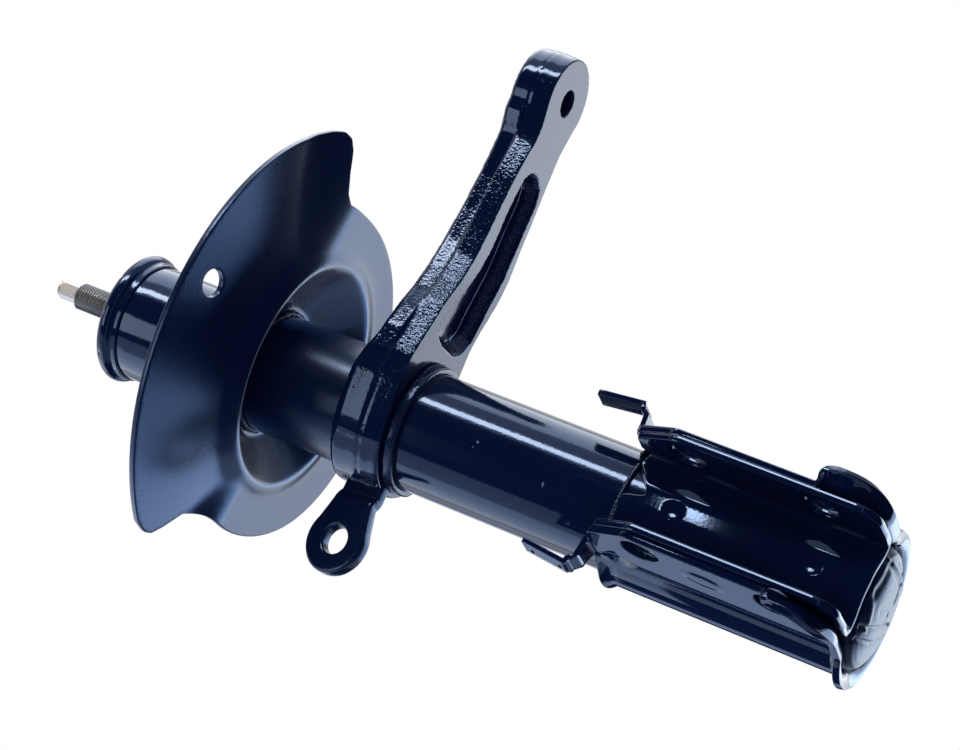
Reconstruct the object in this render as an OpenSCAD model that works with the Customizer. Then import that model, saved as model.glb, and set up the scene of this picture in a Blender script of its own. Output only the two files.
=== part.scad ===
// Suspension strut: a twin-tube damper with a welded spring seat, a forged steering arm with a link lug,
// and a pressed knuckle bracket. Millimetres. The origin is the centre of the lower knuckle bolt,
// +Z runs along the tube towards the piston rod, and +X points from the tube to the bolts.

/* [Tube] */
// Outer diameter of the strut tube
tube_od = 51; // [49:0.5:53]
// Wall of the strut tube
tube_wall = 2.5; // [2:0.1:3]
// Height of the tube's upper end above the lower bolt
tube_top = 321.5; // [316:0.5:330]
// Depth of the tube's lower end below the lower bolt
tube_drop = 29; // [27:0.5:31]
// Distance from the tube's axis to the bolts
bolt_offset = 40; // [39:0.5:43]
// Width of the tube's end that is rolled in over the seal
crimp_w = 4; // [3:0.5:6]
// Thickness of the plug that closes the tube's lower end
base_plate_t = 6.5; // [5:0.25:8]
// Distance that the closing plug bulges out below the tube
base_bulge = 2; // [1:0.25:3]
// Size of the bevels at the tube's ends
tube_bevel = 1; // [0.5:0.25:1.5]

/* [Bump cap] */
// Radius of the cap at the middle of its rolled edge
cap_r = 28.6; // [28.5:0.1:30]
// Depth of the cap's skirt below the tube's end
cap_skirt = 4.5; // [3:0.5:7]
// Thickness of the cap's top
cap_t = 2.5; // [2:0.25:4]
// Length of the cap's sleeve below its rolled edge
cap_sleeve_l = 4.5; // [3:0.5:7]
// Thickness of the cap's sleeve
cap_sleeve_t = 1.2; // [1:0.1:2]
// Diameter of the hole in the cap round the rod
cap_hole_d = 24; // [22:0.5:30]

/* [Rod and stud] */
// Diameter of the piston rod
rod_d = 20; // [18:0.5:22]
// Height of the rod's shoulder above the bump cap's seat
rod_show = 6.5; // [5:0.5:15]
// Diameter of the threaded stud
stud_d = 12; // [10:1:14]
// Length of the threaded stud
stud_l = 24.6; // [18:0.2:30]
// Diameter of the plain pilot beyond the thread
pilot_d = 8.2; // [7:0.1:9]
// Length of the plain pilot
pilot_l = 10; // [6:0.5:14]
// Width of the pilot across its two flats
pilot_flats = 6.6; // [6:0.1:6.9]
// Length of the pilot's tapered end
pilot_taper = 1.5; // [0.5:0.25:2.5]
// Depth of the groove for the ring under the rebound bumper
bumper_groove_d = 1.2; // [0.8:0.1:1.6]
// Length of travel of the rod
stroke = 160; // [120:1:165]

/* [Guide and seal] */
// Thickness of the washer that holds the seal
retainer_t = 2; // [1.5:0.25:3]
// Height of the oil seal
seal_h = 6; // [4:0.5:8]
// Height of the rod guide's flange
guide_flange_h = 12; // [10:0.5:16]
// Length of the rod guide's spigot in the working cylinder
guide_spigot_h = 8; // [6:0.5:12]
// Length of the bush in the rod guide
bush_l = 15; // [12:0.5:18]
// Wall of the bush in the rod guide
bush_t = 1.5; // [1:0.1:2]

/* [Working cylinder and base valve] */
// Bore of the working cylinder
bore_d = 32; // [30:0.5:34]
// Wall of the working cylinder
bore_wall = 1.5; // [1.2:0.1:2]
// Height of the base valve's foot
foot_h = 8; // [7:0.5:10]
// Height of the base valve's spigot
spigot_h = 5; // [4:0.5:8]
// Diameter of the base valve's rivet
rivet_d = 6; // [5:0.25:6.5]
// Thickness of the rivet's heads
rivet_head_t = 1.5; // [1:0.25:2]
// Distance that the rivet's heads stand out from its shank
rivet_head_w = 2.5; // [2:0.25:3]
// Thickness of the base valve's disc stack
base_discs_t = 1.2; // [0.8:0.1:1.6]
// Thickness of the check plates
check_t = 0.8; // [0.6:0.1:1.2]
// Height of the springs over the check plates
check_spring_h = 2; // [1.6:0.1:3]
// Thickness of the springs' leaves
leaf_t = 0.5; // [0.4:0.05:0.6]
// Width of the springs' leaves
leaf_w = 3; // [2:0.25:4]
// Diameter of the ports in the base valve and the piston
port_d = 2.6; // [2:0.1:3]

/* [Piston] */
// Height of the piston
piston_h = 18; // [16:0.5:22]
// Width of the piston's ring
ring_w = 9; // [7:0.5:10]
// Depth of the piston's ring groove
groove_d = 1.3; // [1:0.1:1.6]
// Diameter of the rod's stem through the piston
stem_d = 12; // [10:0.5:13]
// Height of the piston's nut
nut_h = 8; // [7:0.5:10]
// Width of the piston's nut across its flats
nut_af = 17; // [16:0.5:19]
// Thickness of the piston's disc stack
discs_t = 2.4; // [1.6:0.1:3]
// Thickness of the washer that the rod's shoulder clamps
stop_washer_t = 2; // [1.5:0.25:3]
// Gap between the base valve and the nut with the rod fully in
nut_gap = 6; // [3:0.5:10]
// Height of the rebound bumper
bumper_h = 12; // [8:0.5:16]
// Thickness of the ring under the rebound bumper
bumper_ring_t = 3; // [2:0.5:4]

/* [Spring seat] */
// Thickness of the spring seat's plate
seat_t = 3; // [2.5:0.25:4]
// Height of the seat's crest above the lower bolt
seat_z = 236.5; // [230:0.5:245]
// Radius of the crest, the ring that the spring's groove presses out
crest_r = 49.5; // [44:0.5:52]
// Depth of the bowl inside the crest
bowl_h = 15; // [12:0.5:17]
// Radius of the flat round the tube inside the bowl
bowl_flat_r = 29.5; // [29:0.25:32]
// Width of the steep band outside the crest
band_w = 8; // [6:0.5:10]
// Slope of the steep band
band_slope = 0.55; // [0.3:0.05:0.6]
// Distance that the seat's round edges stand off the tube's axis towards the steering arm
seat_shift = 3.3; // [0:0.1:4]
// Slope of the seat's wing
wing_slope = 0.24; // [0.1:0.01:0.3]
// Radius of the seat's wing
wing_r = 102; // [95:1:110]
// Radius of the seat's short side
lobe_r = 71.2; // [68:0.2:78]
// Distance that the short side's round edge stands off the tube's axis, away from the bolts
lobe_back = 5; // [0:0.5:8]
// Angle of the wing's side beside the steering arm
wing_side_up = 62; // [48:1:66]
// Distance that the wing's corner beside the steering arm stands out from its round edge
wing_corner = 2; // [0:0.5:10]
// Angle of the wing's side beside the link lug
wing_side_down = -75; // [-80:1:-60]
// Share of the wing's rise that is left at the side beside the link lug
wing_low_share = 0.84; // [0.5:0.02:1]
// Diameter of the hole in the wing
wing_hole_d = 11.5; // [8:0.5:14]
// Distance of the wing's hole from the tube's axis
wing_hole_r = 86; // [75:1:92]

/* [Steering arm] */
// Height of the arm's lower face above the lower bolt
arm_z = 180; // [170:1:190]
// Thickness of the arm
arm_t = 18; // [16:0.5:22]
// Distance from the tube's axis to the tie rod hole
arm_l = 152.3; // [145:0.5:160]
// Width of the arm halfway along
arm_w = 38; // [34:0.5:42]
// Direction of the arm from +X
arm_angle = 82; // [70:1:95]
// Radius of the boss at the arm's end
arm_boss_r = 19.6; // [17:0.2:21]
// Radius of the collar round the tube
collar_r = 31; // [30:0.25:33]
// Height of the collar
collar_h = 23; // [20:0.5:28]
// Diameter of the tapered tie rod hole at the lower face
tie_hole_d = 10.6; // [10:0.1:13]
// Growth of the tie rod hole's diameter over its length, as one in
tie_taper = 8; // [6:1:10]
// Depth of the pocket in each face of the arm
pocket_d = 6.5; // [4:0.5:7]

/* [Link lug] */
// Thickness of the link lug
lug_t = 6; // [4:0.5:7]
// Radius of the lug's head
lug_r = 14.5; // [13:0.25:17]
// Diameter of the lug's hole
lug_hole_d = 12.2; // [10:0.2:14]
// Distance from the tube's axis to the lug's hole
lug_l = 56.3; // [53:0.5:62]
// Height of the lug's hole above the arm's lower face
lug_up = 9.3; // [7:0.5:12]
// Width of the lug's neck
lug_neck_w = 19; // [16:0.5:21]
// Tilt of the lug
lug_tilt = 15; // [5:1:20]
// Turn of the lug about the tube's direction
lug_turn = 7.5; // [0:0.5:12]

/* [Knuckle bracket] */
// Distance between the two knuckle bolts
bolt_pitch = 56; // [52:1:60]
// Diameter of the bolt holes
bolt_hole_d = 16; // [14:0.5:17]
// Gap between the bracket's ears
ear_gap = 36; // [34:0.5:37]
// Thickness of each sheet of the bracket
sheet_t = 3.1; // [2.5:0.1:3.2]
// Height of the bracket above the lower bolt
bracket_top = 80; // [74:1:90]
// Reach of the outer ears in front of the bolts
ear_front = 10.4; // [10:0.2:14]
// Reach of the inner ears in front of the bolts
inner_front = 12.6; // [11:0.2:15]
// Slope back of the ears' front edge over the bracket's upper part
ear_rake = 12; // [6:0.5:13]
// Height over which the ears' front edge slopes back
rake_h = 18; // [12:0.5:22]
// Radius of the ears' lower corner
ear_corner_r = 20; // [18:0.5:22]
// Width of the lip round the ears' lower corner
lip_w = 4.5; // [2:0.25:5]
// Distance that the lip leans out round the corner
lip_lean = 4.5; // [0:0.25:6]
// Width of the flares at the ends of the bracket's back
flare_w = 2.8; // [1.5:0.1:4]
// Depth of the bracket's lower end below the lower bolt
bracket_drop = 26.5; // [24:0.25:28]
// Distance that the inner sheet's upper end stays below the outer one's
inner_step = 2; // [1:0.25:4]
// Width of the flat part of the inner channel's floor
floor_flat_w = 11; // [8:0.5:14]
// Rise of the floor's slanted sides towards the tube
floor_drop = 3.2; // [2:0.1:4]
// Width of the inner channel's floor with its slanted sides
floor_w = 28; // [26:0.5:30]

/* [Hose hooks] */
// Width of each hose hook
hook_w = 15; // [12:0.5:17]
// Thickness of each hose hook
hook_t = 2; // [1.5:0.1:2.5]
// Distance that each hook stands out from its ear
hook_out = 12; // [8:0.5:13]
// Height of each hook above the bracket
hook_up = 23; // [18:0.5:28]
// Height over which each hook bends out
hook_bend_h = 4; // [3:0.5:10]
// Distance that each hook leans back towards its ear at the top
hook_lean = 2; // [0:0.25:4]
// Width of the slots in the hook beside the link lug
hook_slot_w = 4; // [3:0.25:5]
// Height of the slots in the hook beside the link lug
hook_slot_h = 1.5; // [1:0.25:2]

/* [Fits] */
// Gap round a piece that is seated in or on another
seat_gap = 0.05; // [0.03:0.01:0.08]
// Gap between the rod or the piston ring and what guides it
run_gap = 0.05; // [0.03:0.01:0.08]
// Size of the weld beads
weld_w = 3; // [2:0.25:4]

/* [Hidden] */
$fn = 96;
cut = 1;
tube_r = tube_od / 2;
tube_in = tube_r - tube_wall;
tube_clear = tube_r + seat_gap;
in_clear = tube_in - seat_gap;
rod_r = rod_d / 2;
rod_clear = rod_r + run_gap;

// Stack at the tube's upper end, from the crimp down to the rod guide
crimp_z = tube_top - tube_wall;
retainer_z = crimp_z - retainer_t;
seal_z = retainer_z - seal_h;
guide_z = seal_z - guide_flange_h;
guide_bottom = guide_z - guide_spigot_h;

// Stack at the lower end, from the closing plate up to the rivet's head
base_z = -tube_drop - base_bulge;
foot_z = base_z + base_plate_t;
cylinder_z = foot_z + foot_h;
valve_top = cylinder_z + spigot_h;
base_check_z = valve_top + seat_gap;
base_spring_z = base_check_z + check_t + seat_gap;
rivet_top = base_spring_z + check_spring_h + seat_gap;
bore_r = bore_d / 2;
bore_clear = bore_r - seat_gap;
cylinder_r = bore_r + bore_wall;
foot_cavity_r = 13;
foot_cavity_h = 4;
foot_slot_w = 4;
port_ring_r = 11;
check_r = 13.4;

// Stack on the rod with the rod fully in
nut_z = rivet_top + rivet_head_t + nut_gap;
discs_z = nut_z + nut_h + seat_gap;
piston_z = discs_z + discs_t + seat_gap;
piston_top = piston_z + piston_h;
piston_r = bore_r - 0.25;
ring_z = piston_z + (piston_h - ring_w) / 2;
piston_check_z = piston_top + seat_gap;
piston_spring_z = piston_check_z + check_t + seat_gap;
stop_washer_z = piston_spring_z + check_spring_h + seat_gap;
shoulder_z = stop_washer_z + stop_washer_t + seat_gap;
stem_r = stem_d / 2;
stem_clear = stem_r + seat_gap;
bumper_top = guide_bottom - stroke - 0.3;
bumper_z = bumper_top - bumper_h;
bumper_ring_z = bumper_z - bumper_ring_t;
bumper_r = 14;
disc_r = 12;
stud_z = tube_top + rod_show;
pilot_z = stud_z + stud_l;
rod_tip = pilot_z + pilot_l;
stud_r = stud_d / 2;
pilot_r = pilot_d / 2;

// Spring seat, as a height over the plane and an edge round the tube
bowl_bend = 0.12;
band_bend = 2;
wing_bend = 3;
lobe_rise_w = 4;
lobe_rise_slope = 0.3;
seat_inner_r = tube_clear + 0.15;
side_turn = 5;
fold_end_in = 64;
fold_end_out = 77;
fold_in = 30;
fold_out = 31;
fold_down = 16;
wing_low_turn = 60;
corner_angle = 56;
corner_turn = 10;

// Steering arm and lug. The arm's outlines are drawn for this length and width
drawn_l = 152.3;
drawn_w = 38;
collar_z = arm_z + collar_h;
lug_z = arm_z + lug_up;
tie_r = tie_hole_d / 2;
tie_r_top = tie_r + arm_t / tie_taper / 2;

// Bracket
ear_in = ear_gap / 2;
ear_mid = ear_in + sheet_t;
ear_out = ear_mid + sheet_t;
wrap_x = sqrt(pow(tube_clear, 2) - pow(ear_mid, 2)) - bolt_offset;
floor_x = tube_clear + sheet_t - bolt_offset;
bracket_bottom = -bracket_drop;
corner_x = ear_front - ear_corner_r;
corner_z = bracket_bottom + ear_corner_r;
inner_top = bracket_top - inner_step;
wrap_r = tube_clear + sheet_t;

paint = [0.06, 0.09, 0.2];
steel = [0.62, 0.63, 0.65];
bright_steel = [0.8, 0.8, 0.82];
sinter = [0.4, 0.4, 0.42];
rubber = [0.1, 0.1, 0.1];
bronze = [0.7, 0.55, 0.3];

// What follows stands on the tube's axis
module on_tube() {
    translate([-bolt_offset, 0, 0]) children();
}

// Ring round the tube's axis
module ring(r_in, r_out, z_low, height) {
    on_tube() rotate_extrude() translate([r_in, z_low]) square([r_out - r_in, height]);
}

// Disc on the tube's axis
module disc(r, z_low, height) {
    on_tube() translate([0, 0, z_low]) cylinder(r = r, h = height);
}

// Copies round the tube's axis
module around(count, first = 0) {
    on_tube() for (i = [0 : count - 1]) rotate([0, 0, first + i * 360 / count]) children();
}

module strut_tube() {
    color(paint) on_tube() rotate_extrude() polygon([
        [tube_in, -tube_drop], [tube_r - tube_bevel, -tube_drop], [tube_r, -tube_drop + tube_bevel],
        [tube_r, tube_top - tube_bevel], [tube_r - tube_bevel, tube_top],
        [tube_in - crimp_w, tube_top], [tube_in - crimp_w, crimp_z], [tube_in, crimp_z]]);
}

module tube_base_plate() {
    color(steel) on_tube() rotate_extrude() polygon([
        [0, foot_z], [in_clear, foot_z], [in_clear, -tube_drop], [in_clear - 1.5 * base_bulge, base_z],
        [0, base_z]]);
}

// Pressed cap over the tube's end, with a rolled edge that the bump stop lands on
module bump_cap() {
    seat_top = tube_top + seat_gap;
    roll_r = (seat_top + cap_t - (tube_top - cap_skirt)) / 2;
    roll_z = tube_top - cap_skirt + roll_r;
    color(paint) on_tube() rotate_extrude() difference() {
        union() {
            translate([cap_hole_d / 2, seat_top]) square([cap_r - roll_r - cap_hole_d / 2, cap_t]);
            translate([cap_r - roll_r, roll_z]) circle(r = roll_r, $fn = 48);
            translate([tube_clear, roll_z - roll_r - cap_sleeve_l]) square([cap_sleeve_t, roll_r + cap_sleeve_l]);
        }
        translate([0, roll_z - roll_r - cap_sleeve_l - cut])
            square([tube_clear, seat_top - roll_z + roll_r + cap_sleeve_l + cut]);
    }
}

module rod_seal() {
    lip_h = 2;
    color(rubber) on_tube() rotate_extrude() polygon([
        [rod_clear, seal_z], [in_clear, seal_z], [in_clear, retainer_z - seat_gap],
        [rod_r + lip_h, retainer_z - seat_gap], [rod_clear, retainer_z - lip_h]]);
}

module seal_retainer() {
    color(steel) ring(rod_r + 1, in_clear, retainer_z, retainer_t - seat_gap);
}

module rod_guide() {
    bush_r = rod_clear + bush_t + seat_gap;
    bush_top = guide_bottom + bush_l + 2 * seat_gap;
    color(sinter) on_tube() rotate_extrude() polygon([
        [bush_r, guide_bottom], [bore_clear, guide_bottom], [bore_clear, guide_z], [in_clear, guide_z],
        [in_clear, seal_z - seat_gap], [rod_r + 1, seal_z - seat_gap], [rod_r + 1, bush_top],
        [bush_r, bush_top]]);
}

module guide_bush() {
    color(bronze) ring(rod_clear, rod_clear + bush_t, guide_bottom + seat_gap, bush_l);
}

module working_cylinder() {
    low = cylinder_z + seat_gap;
    color(steel) ring(bore_r, cylinder_r, low, guide_z - seat_gap - low);
}

// Base valve: a slotted foot, a disc with ports and a spigot in the working cylinder
module base_valve_body() {
    color(sinter) difference() {
        union() {
            disc(cylinder_r, foot_z + seat_gap, foot_h - seat_gap);
            disc(bore_clear, cylinder_z - cut, spigot_h + cut);
        }
        disc(rivet_d / 2 + seat_gap, foot_z - cut, foot_h + spigot_h + 2 * cut);
        disc(foot_cavity_r, foot_z - cut, foot_cavity_h + cut);
        around(4) translate([0, -foot_slot_w / 2, foot_z - cut]) cube([cylinder_r + cut, foot_slot_w, cut + 2]);
        around(8) translate([port_ring_r, 0, foot_z]) cylinder(d = port_d, h = foot_h + spigot_h + cut, $fn = 24);
    }
}

module base_valve_rivet() {
    head_r = rivet_d / 2 + rivet_head_w;
    low_head = foot_z + foot_cavity_h - base_discs_t - 2 * seat_gap - rivet_head_t;
    color(bright_steel) {
        disc(head_r, low_head, rivet_head_t);
        disc(rivet_d / 2, low_head, rivet_top + rivet_head_t - low_head);
        disc(head_r + 0.5, rivet_top, rivet_head_t);
    }
}

module base_valve_discs() {
    low = foot_z + foot_cavity_h - base_discs_t - seat_gap;
    color(steel) ring(rivet_d / 2 + seat_gap, port_ring_r - port_d / 2 - 0.3, low, base_discs_t);
}

module base_check_plate() {
    color(steel) ring(rivet_d / 2 + 3.5, check_r, base_check_z, check_t);
}

// Leaf spring over a check plate: a hub ring with curled arms down to the plate
module check_spring(hub_in, hub_out, z_low) {
    color(bright_steel) {
        ring(hub_in, hub_out, z_low + check_spring_h - leaf_t, leaf_t);
        around(3) translate([0, -leaf_w / 2, 0]) rotate([90, 0, 180]) linear_extrude(leaf_w) polygon([
            [-hub_out + 0.3, z_low + check_spring_h - leaf_t], [-hub_out + 0.3, z_low + check_spring_h],
            [-hub_out - 1, z_low + check_spring_h], [-check_r + 1, z_low + leaf_t], [-check_r + 1, z_low]]);
    }
}

module base_check_spring() {
    check_spring(rivet_d / 2 + seat_gap, rivet_d / 2 + 3, base_spring_z);
}

// Piston rod: the threaded stem, the ground shaft, the stud and the flatted pilot
module piston_rod() {
    color(bright_steel) difference() {
        union() {
            disc(stem_r, nut_z - 1, shoulder_z - nut_z + 1 + cut);
            disc(rod_r, shoulder_z, stud_z - shoulder_z);
            disc(stud_r, stud_z - cut, stud_l + cut);
            disc(pilot_r, pilot_z - cut, pilot_l - pilot_taper + cut);
            on_tube() translate([0, 0, rod_tip - pilot_taper])
                cylinder(r1 = pilot_r, r2 = pilot_r - pilot_taper / 2, h = pilot_taper);
        }
        ring(rod_r - bumper_groove_d, rod_r + cut, bumper_ring_z, bumper_ring_t);
        on_tube() for (s = [-1, 1]) translate([s * (pilot_flats / 2 + pilot_r), 0, pilot_z + pilot_l / 2 + cut])
            cube([2 * pilot_r, 2 * pilot_r + cut, pilot_l], center = true);
    }
}

module rebound_bumper() {
    color(rubber) ring(rod_r + seat_gap, bumper_r, bumper_z + seat_gap, bumper_h - seat_gap);
}

module rebound_bumper_ring() {
    color(steel) ring(rod_r - bumper_groove_d + seat_gap, bumper_r - 1, bumper_ring_z + seat_gap,
        bumper_ring_t - 2 * seat_gap);
}

module piston() {
    color(sinter) difference() {
        disc(piston_r, piston_z, piston_h);
        disc(stem_clear, piston_z - cut, piston_h + 2 * cut);
        ring(piston_r - groove_d, piston_r + cut, ring_z, ring_w);
        around(8) translate([port_ring_r, 0, piston_z - cut]) cylinder(d = port_d, h = piston_h + 2 * cut, $fn = 24);
    }
}

module piston_ring() {
    color(bronze) ring(piston_r - groove_d + run_gap, bore_r - run_gap, ring_z + run_gap, ring_w - 2 * run_gap);
}

module piston_check_plate() {
    color(steel) ring(stem_r + 3.5, check_r, piston_check_z, check_t);
}

module piston_check_spring() {
    check_spring(stem_clear, stem_r + 3, piston_spring_z);
}

module piston_stop_washer() {
    color(steel) ring(stem_clear, disc_r, stop_washer_z, stop_washer_t);
}

module piston_discs() {
    color(steel) ring(stem_clear, port_ring_r - port_d / 2 - 0.3, discs_z, discs_t);
}

module piston_nut() {
    color(steel) difference() {
        on_tube() translate([0, 0, nut_z]) cylinder(d = nut_af / cos(30), h = nut_h, $fn = 6);
        disc(stem_clear, nut_z - cut, nut_h + 2 * cut);
    }
}

function blend(x) = let (u = min(1, max(0, x))) u * u * (3 - 2 * u);
function mix(a, b, u) = a + (b - a) * u;

// Distance from the tube's axis to a circle of the seat at an angle. The circle stands off the axis
function seat_circle(r, a, back = 0) =
    let (along = seat_shift * sin(a) - back * cos(a), aside = seat_shift * cos(a) + back * sin(a))
    along + sqrt(pow(r, 2) - pow(aside, 2));
function crest_at(a) = seat_circle(crest_r, a);

// Share of the wing's full slope at an angle: 1 over the wing, fading to 0 over the short side
function wing_share(r, a) =
    let (inner = crest_at(a) + band_w, reach = min(1, max(0, (r - inner) / (wing_r - inner))),
        fold_end = mix(fold_end_in, fold_end_out, reach),
        fold = mix(fold_in, fold_out, reach))
    blend((fold_end - a) / fold) * blend((a - wing_side_down + fold_down) / fold_down)
    * mix(wing_low_share, 1, blend((a - wing_side_down) / wing_low_turn));

// A distance that starts softly
function eased(x, bend) = x <= 0 ? 0 : x * x / (x + bend);

// Height of the seat's underside over its crest: the bowl inside, and the wing or the short side outside
function seat_rise(r, a) =
    let (out = r - crest_at(a), share = wing_share(r, a))
    out < 0 ? bowl_h * eased(min(1, out / (bowl_flat_r - crest_at(a))), bowl_bend) * (1 + bowl_bend)
    : share * (band_slope * eased(out, band_bend) - (band_slope - wing_slope) * eased(out - band_w, wing_bend))
    + (1 - share) * lobe_rise_slope * (eased(out, band_bend) - eased(out - lobe_rise_w, wing_bend));

// Radius of the seat's edge at an angle
function seat_edge(a) =
    mix(seat_circle(lobe_r, a, lobe_back), seat_circle(wing_r, a) + wing_corner * blend(1 - abs(a - corner_angle) / corner_turn),
        blend((wing_side_up + side_turn / 2 - a) / side_turn)
        * blend((a - wing_side_down + side_turn / 2) / side_turn));

// Angles round the seat, closer together at the wing's two sides
seat_angles = [
    for (i = [0 : 15]) mix(wing_side_up + side_turn / 2 + 1, 360 + wing_side_down - side_turn / 2 - 2, i / 16),
    for (i = [0 : 7]) mix(360 + wing_side_down - side_turn / 2 - 2, 360 + wing_side_down + side_turn / 2, i / 8),
    for (i = [0 : 13]) 360 + mix(wing_side_down + side_turn / 2, corner_angle - corner_turn, i / 14),
    for (i = [0 : 13]) 360 + mix(corner_angle - corner_turn, wing_side_up + side_turn / 2 + 1, i / 14)];

// Radii of the seat's rings at one angle, out to the edge
function seat_rings(a) = let (crest = crest_at(a), edge = seat_edge(a)) concat(
    [seat_inner_r],
    [for (v = [1, 0.7, 0.45, 0.25, 0.1]) mix(crest, bowl_flat_r, v)],
    [for (v = [0, 0.15, 0.4, 0.8, 1.3]) crest + v * band_w],
    [for (v = [0.2, 0.5, 0.8, 1]) mix(crest + 1.3 * band_w, edge, v)]);

function turned(a) = a > 180 ? a - 360 : a;

// Pressed plate: the same polar grid below and above, closed along its two edges
module seat_plate() {
    na = len(seat_angles);
    nr = len(seat_rings(0));
    points = [for (side = [0, 1]) for (a = seat_angles) let (rings = seat_rings(turned(a)))
        for (r = rings) [r * cos(a), r * sin(a), seat_z + seat_rise(r, turned(a)) + side * seat_t]];
    function at(side, i, j) = side * na * nr + (i % na) * nr + j;
    faces = concat(
        [for (i = [0 : na - 1]) for (j = [0 : nr - 2]) [at(0, i, j), at(0, i, j + 1), at(0, i + 1, j + 1)]],
        [for (i = [0 : na - 1]) for (j = [0 : nr - 2]) [at(0, i, j), at(0, i + 1, j + 1), at(0, i + 1, j)]],
        [for (i = [0 : na - 1]) for (j = [0 : nr - 2]) [at(1, i, j), at(1, i + 1, j + 1), at(1, i, j + 1)]],
        [for (i = [0 : na - 1]) for (j = [0 : nr - 2]) [at(1, i, j), at(1, i + 1, j), at(1, i + 1, j + 1)]],
        [for (i = [0 : na - 1]) for (j = [0, nr - 1]) for (half = [0, 1])
            let (p = at(0, i, j), q = at(0, i + 1, j), s = at(1, i + 1, j), t = at(1, i, j),
                tri = half == 0 ? [p, q, s] : [p, s, t]) j == 0 ? tri : [tri[2], tri[1], tri[0]]]);
    on_tube() polyhedron(points, faces);
}

module spring_seat() {
    color(paint) difference() {
        seat_plate();
        on_tube() translate([wing_hole_r, 0, seat_z - cut]) cylinder(d = wing_hole_d, h = 40, $fn = 48);
    }
}

// Bead with a triangular section round the tube, against a face at its end
module bead(r, z_face, up, width) {
    on_tube() rotate_extrude() polygon([[r, z_face], [r + width, z_face], [r, z_face + up * width]]);
}

module seat_weld() {
    bowl_z = seat_z + bowl_h;
    color(paint) {
        bead(tube_clear, bowl_z - seat_gap, -1, weld_w);
        bead(tube_clear, bowl_z + seat_t + seat_gap, 1, weld_w);
    }
}

// Points of an outline of the arm: distances along it and to its right from the tube's axis
module arm_shape(points) {
    polygon([for (p = points) [p.x * arm_l / drawn_l, -p.y * arm_w / drawn_w]]);
}

module arm_outline(flare) {
    arm_shape([
        [-17, 26], [-9, 35.5 + flare], [8, 35.5 + flare], [24, 33.5], [38, 30], [48, 27.5], [60, 21.5], [72, 18.3],
        [97, 16.5], [111, 15.2], [131, 13], [140, 15.4], [152, 0], [143.3, -18.4],
        [134, -16.8], [123, -18.2], [100, -21.3], [77, -24], [66, -23.6], [50, -18.8], [41, -17.4],
        [34, -17.4], [24, -19.4], [0, 0]]);
    translate([arm_l, 0]) circle(r = arm_boss_r);
    circle(r = collar_r);
}

// Outline of the arm's pocket
module pocket_outline() {
    arm_shape([
        [119, -4], [118, 2.5], [113, 7.5], [96, 8], [79, 7], [68, 9.2], [58, 13.5], [48, 19.5], [41, 21.8],
        [36.5, 19.5], [34.5, 12], [34.5, -3], [38, -10], [45, -14], [57, -14.8], [75, -17], [94, -15.6],
        [109, -15], [116, -12]]);
}

module steering_arm() {
    color(paint) difference() {
        on_tube() union() {
            for (half = [0, 1]) translate([0, 0, arm_z + half * (arm_t / 2 - cut)]) rotate([0, 0, arm_angle])
                linear_extrude(arm_t / 2 + half * cut) arm_outline(4 * half);
            translate([0, 0, arm_z]) cylinder(r = collar_r, h = collar_h);
        }
        disc(tube_clear, arm_z - cut, collar_h + 2 * cut);
        on_tube() rotate([0, 0, arm_angle]) {
            translate([0, 0, arm_z - cut]) linear_extrude(pocket_d + cut) pocket_outline();
            translate([0, 0, arm_z + arm_t - pocket_d]) linear_extrude(pocket_d + cut) pocket_outline();
            translate([arm_l, 0, arm_z - cut])
                cylinder(r1 = tie_r - cut / tie_taper / 2, r2 = tie_r_top + cut / tie_taper / 2, h = arm_t + 2 * cut);
        }
    }
}

module arm_weld() {
    color(paint) {
        bead(tube_clear, collar_z + seat_gap, 1, weld_w);
        ring(tube_clear, tube_clear + weld_w, arm_z - seat_gap - weld_w - 2, weld_w + 2);
    }
}

// Frame of the lug: its hole's axis is X, and its neck runs along +Y to the collar
module at_lug() {
    on_tube() translate([0, -lug_l, lug_z]) rotate([0, -lug_tilt, -lug_turn]) children();
}

module link_lug() {
    neck = lug_neck_w / 2;
    flare = 1.5;
    color(paint) difference() {
        at_lug() translate([-lug_t, 0, 0]) rotate([90, 0, 90]) difference() {
            union() {
                cylinder(r = lug_r, h = lug_t);
                linear_extrude(lug_t) polygon([[0, lug_r - 1], [6, lug_r - 1.5], [12, neck + flare], [18, neck],
                    [lug_l - tube_r, neck], [lug_l - tube_r, -neck], [18, -neck], [12, -neck - flare],
                    [6, -lug_r + 1.5], [0, -lug_r + 1]]);
            }
            translate([0, 0, -cut]) cylinder(d = lug_hole_d, h = lug_t + 2 * cut);
        }
        disc(collar_r + seat_gap, arm_z - 10, collar_h + 20);
    }
}

// Bars of weld in front of and behind the lug's root
module lug_weld() {
    bar_l = lug_neck_w - 3;
    color(paint) difference() {
        at_lug() for (s = [-1, 1])
            translate([s > 0 ? seat_gap : -lug_t - seat_gap - weld_w, 0, -bar_l / 2])
                translate([0, lug_l - collar_r - weld_w * 0.8, 0]) cube([weld_w, weld_w + 2, bar_l]);
        disc(collar_r + seat_gap, arm_z - 10, collar_h + 20);
    }
}

// Side view of an ear: its front edge, the raked upper part and the rounded lower corner
module ear_side(front, top, bottom, corner_r) {
    back = -bolt_offset - tube_r - 2 * sheet_t;
    polygon([[back, bottom], [front - corner_r, bottom], [front, bottom + corner_r], [front, top - rake_h],
        [front - ear_rake, top], [back, top]]);
    intersection() {
        translate([front - corner_r, bottom + corner_r]) circle(r = corner_r);
        translate([front - corner_r, bottom]) square(corner_r);
    }
}

// A shape drawn in the XZ plane, extruded across the bracket
module across(width) {
    rotate([90, 0, 0]) translate([0, 0, -width / 2]) linear_extrude(width) children();
}

module bolt_holes() {
    across(2 * ear_out + 2 * cut) for (z = [0, bolt_pitch]) translate([0, z]) circle(d = bolt_hole_d);
}

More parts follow.
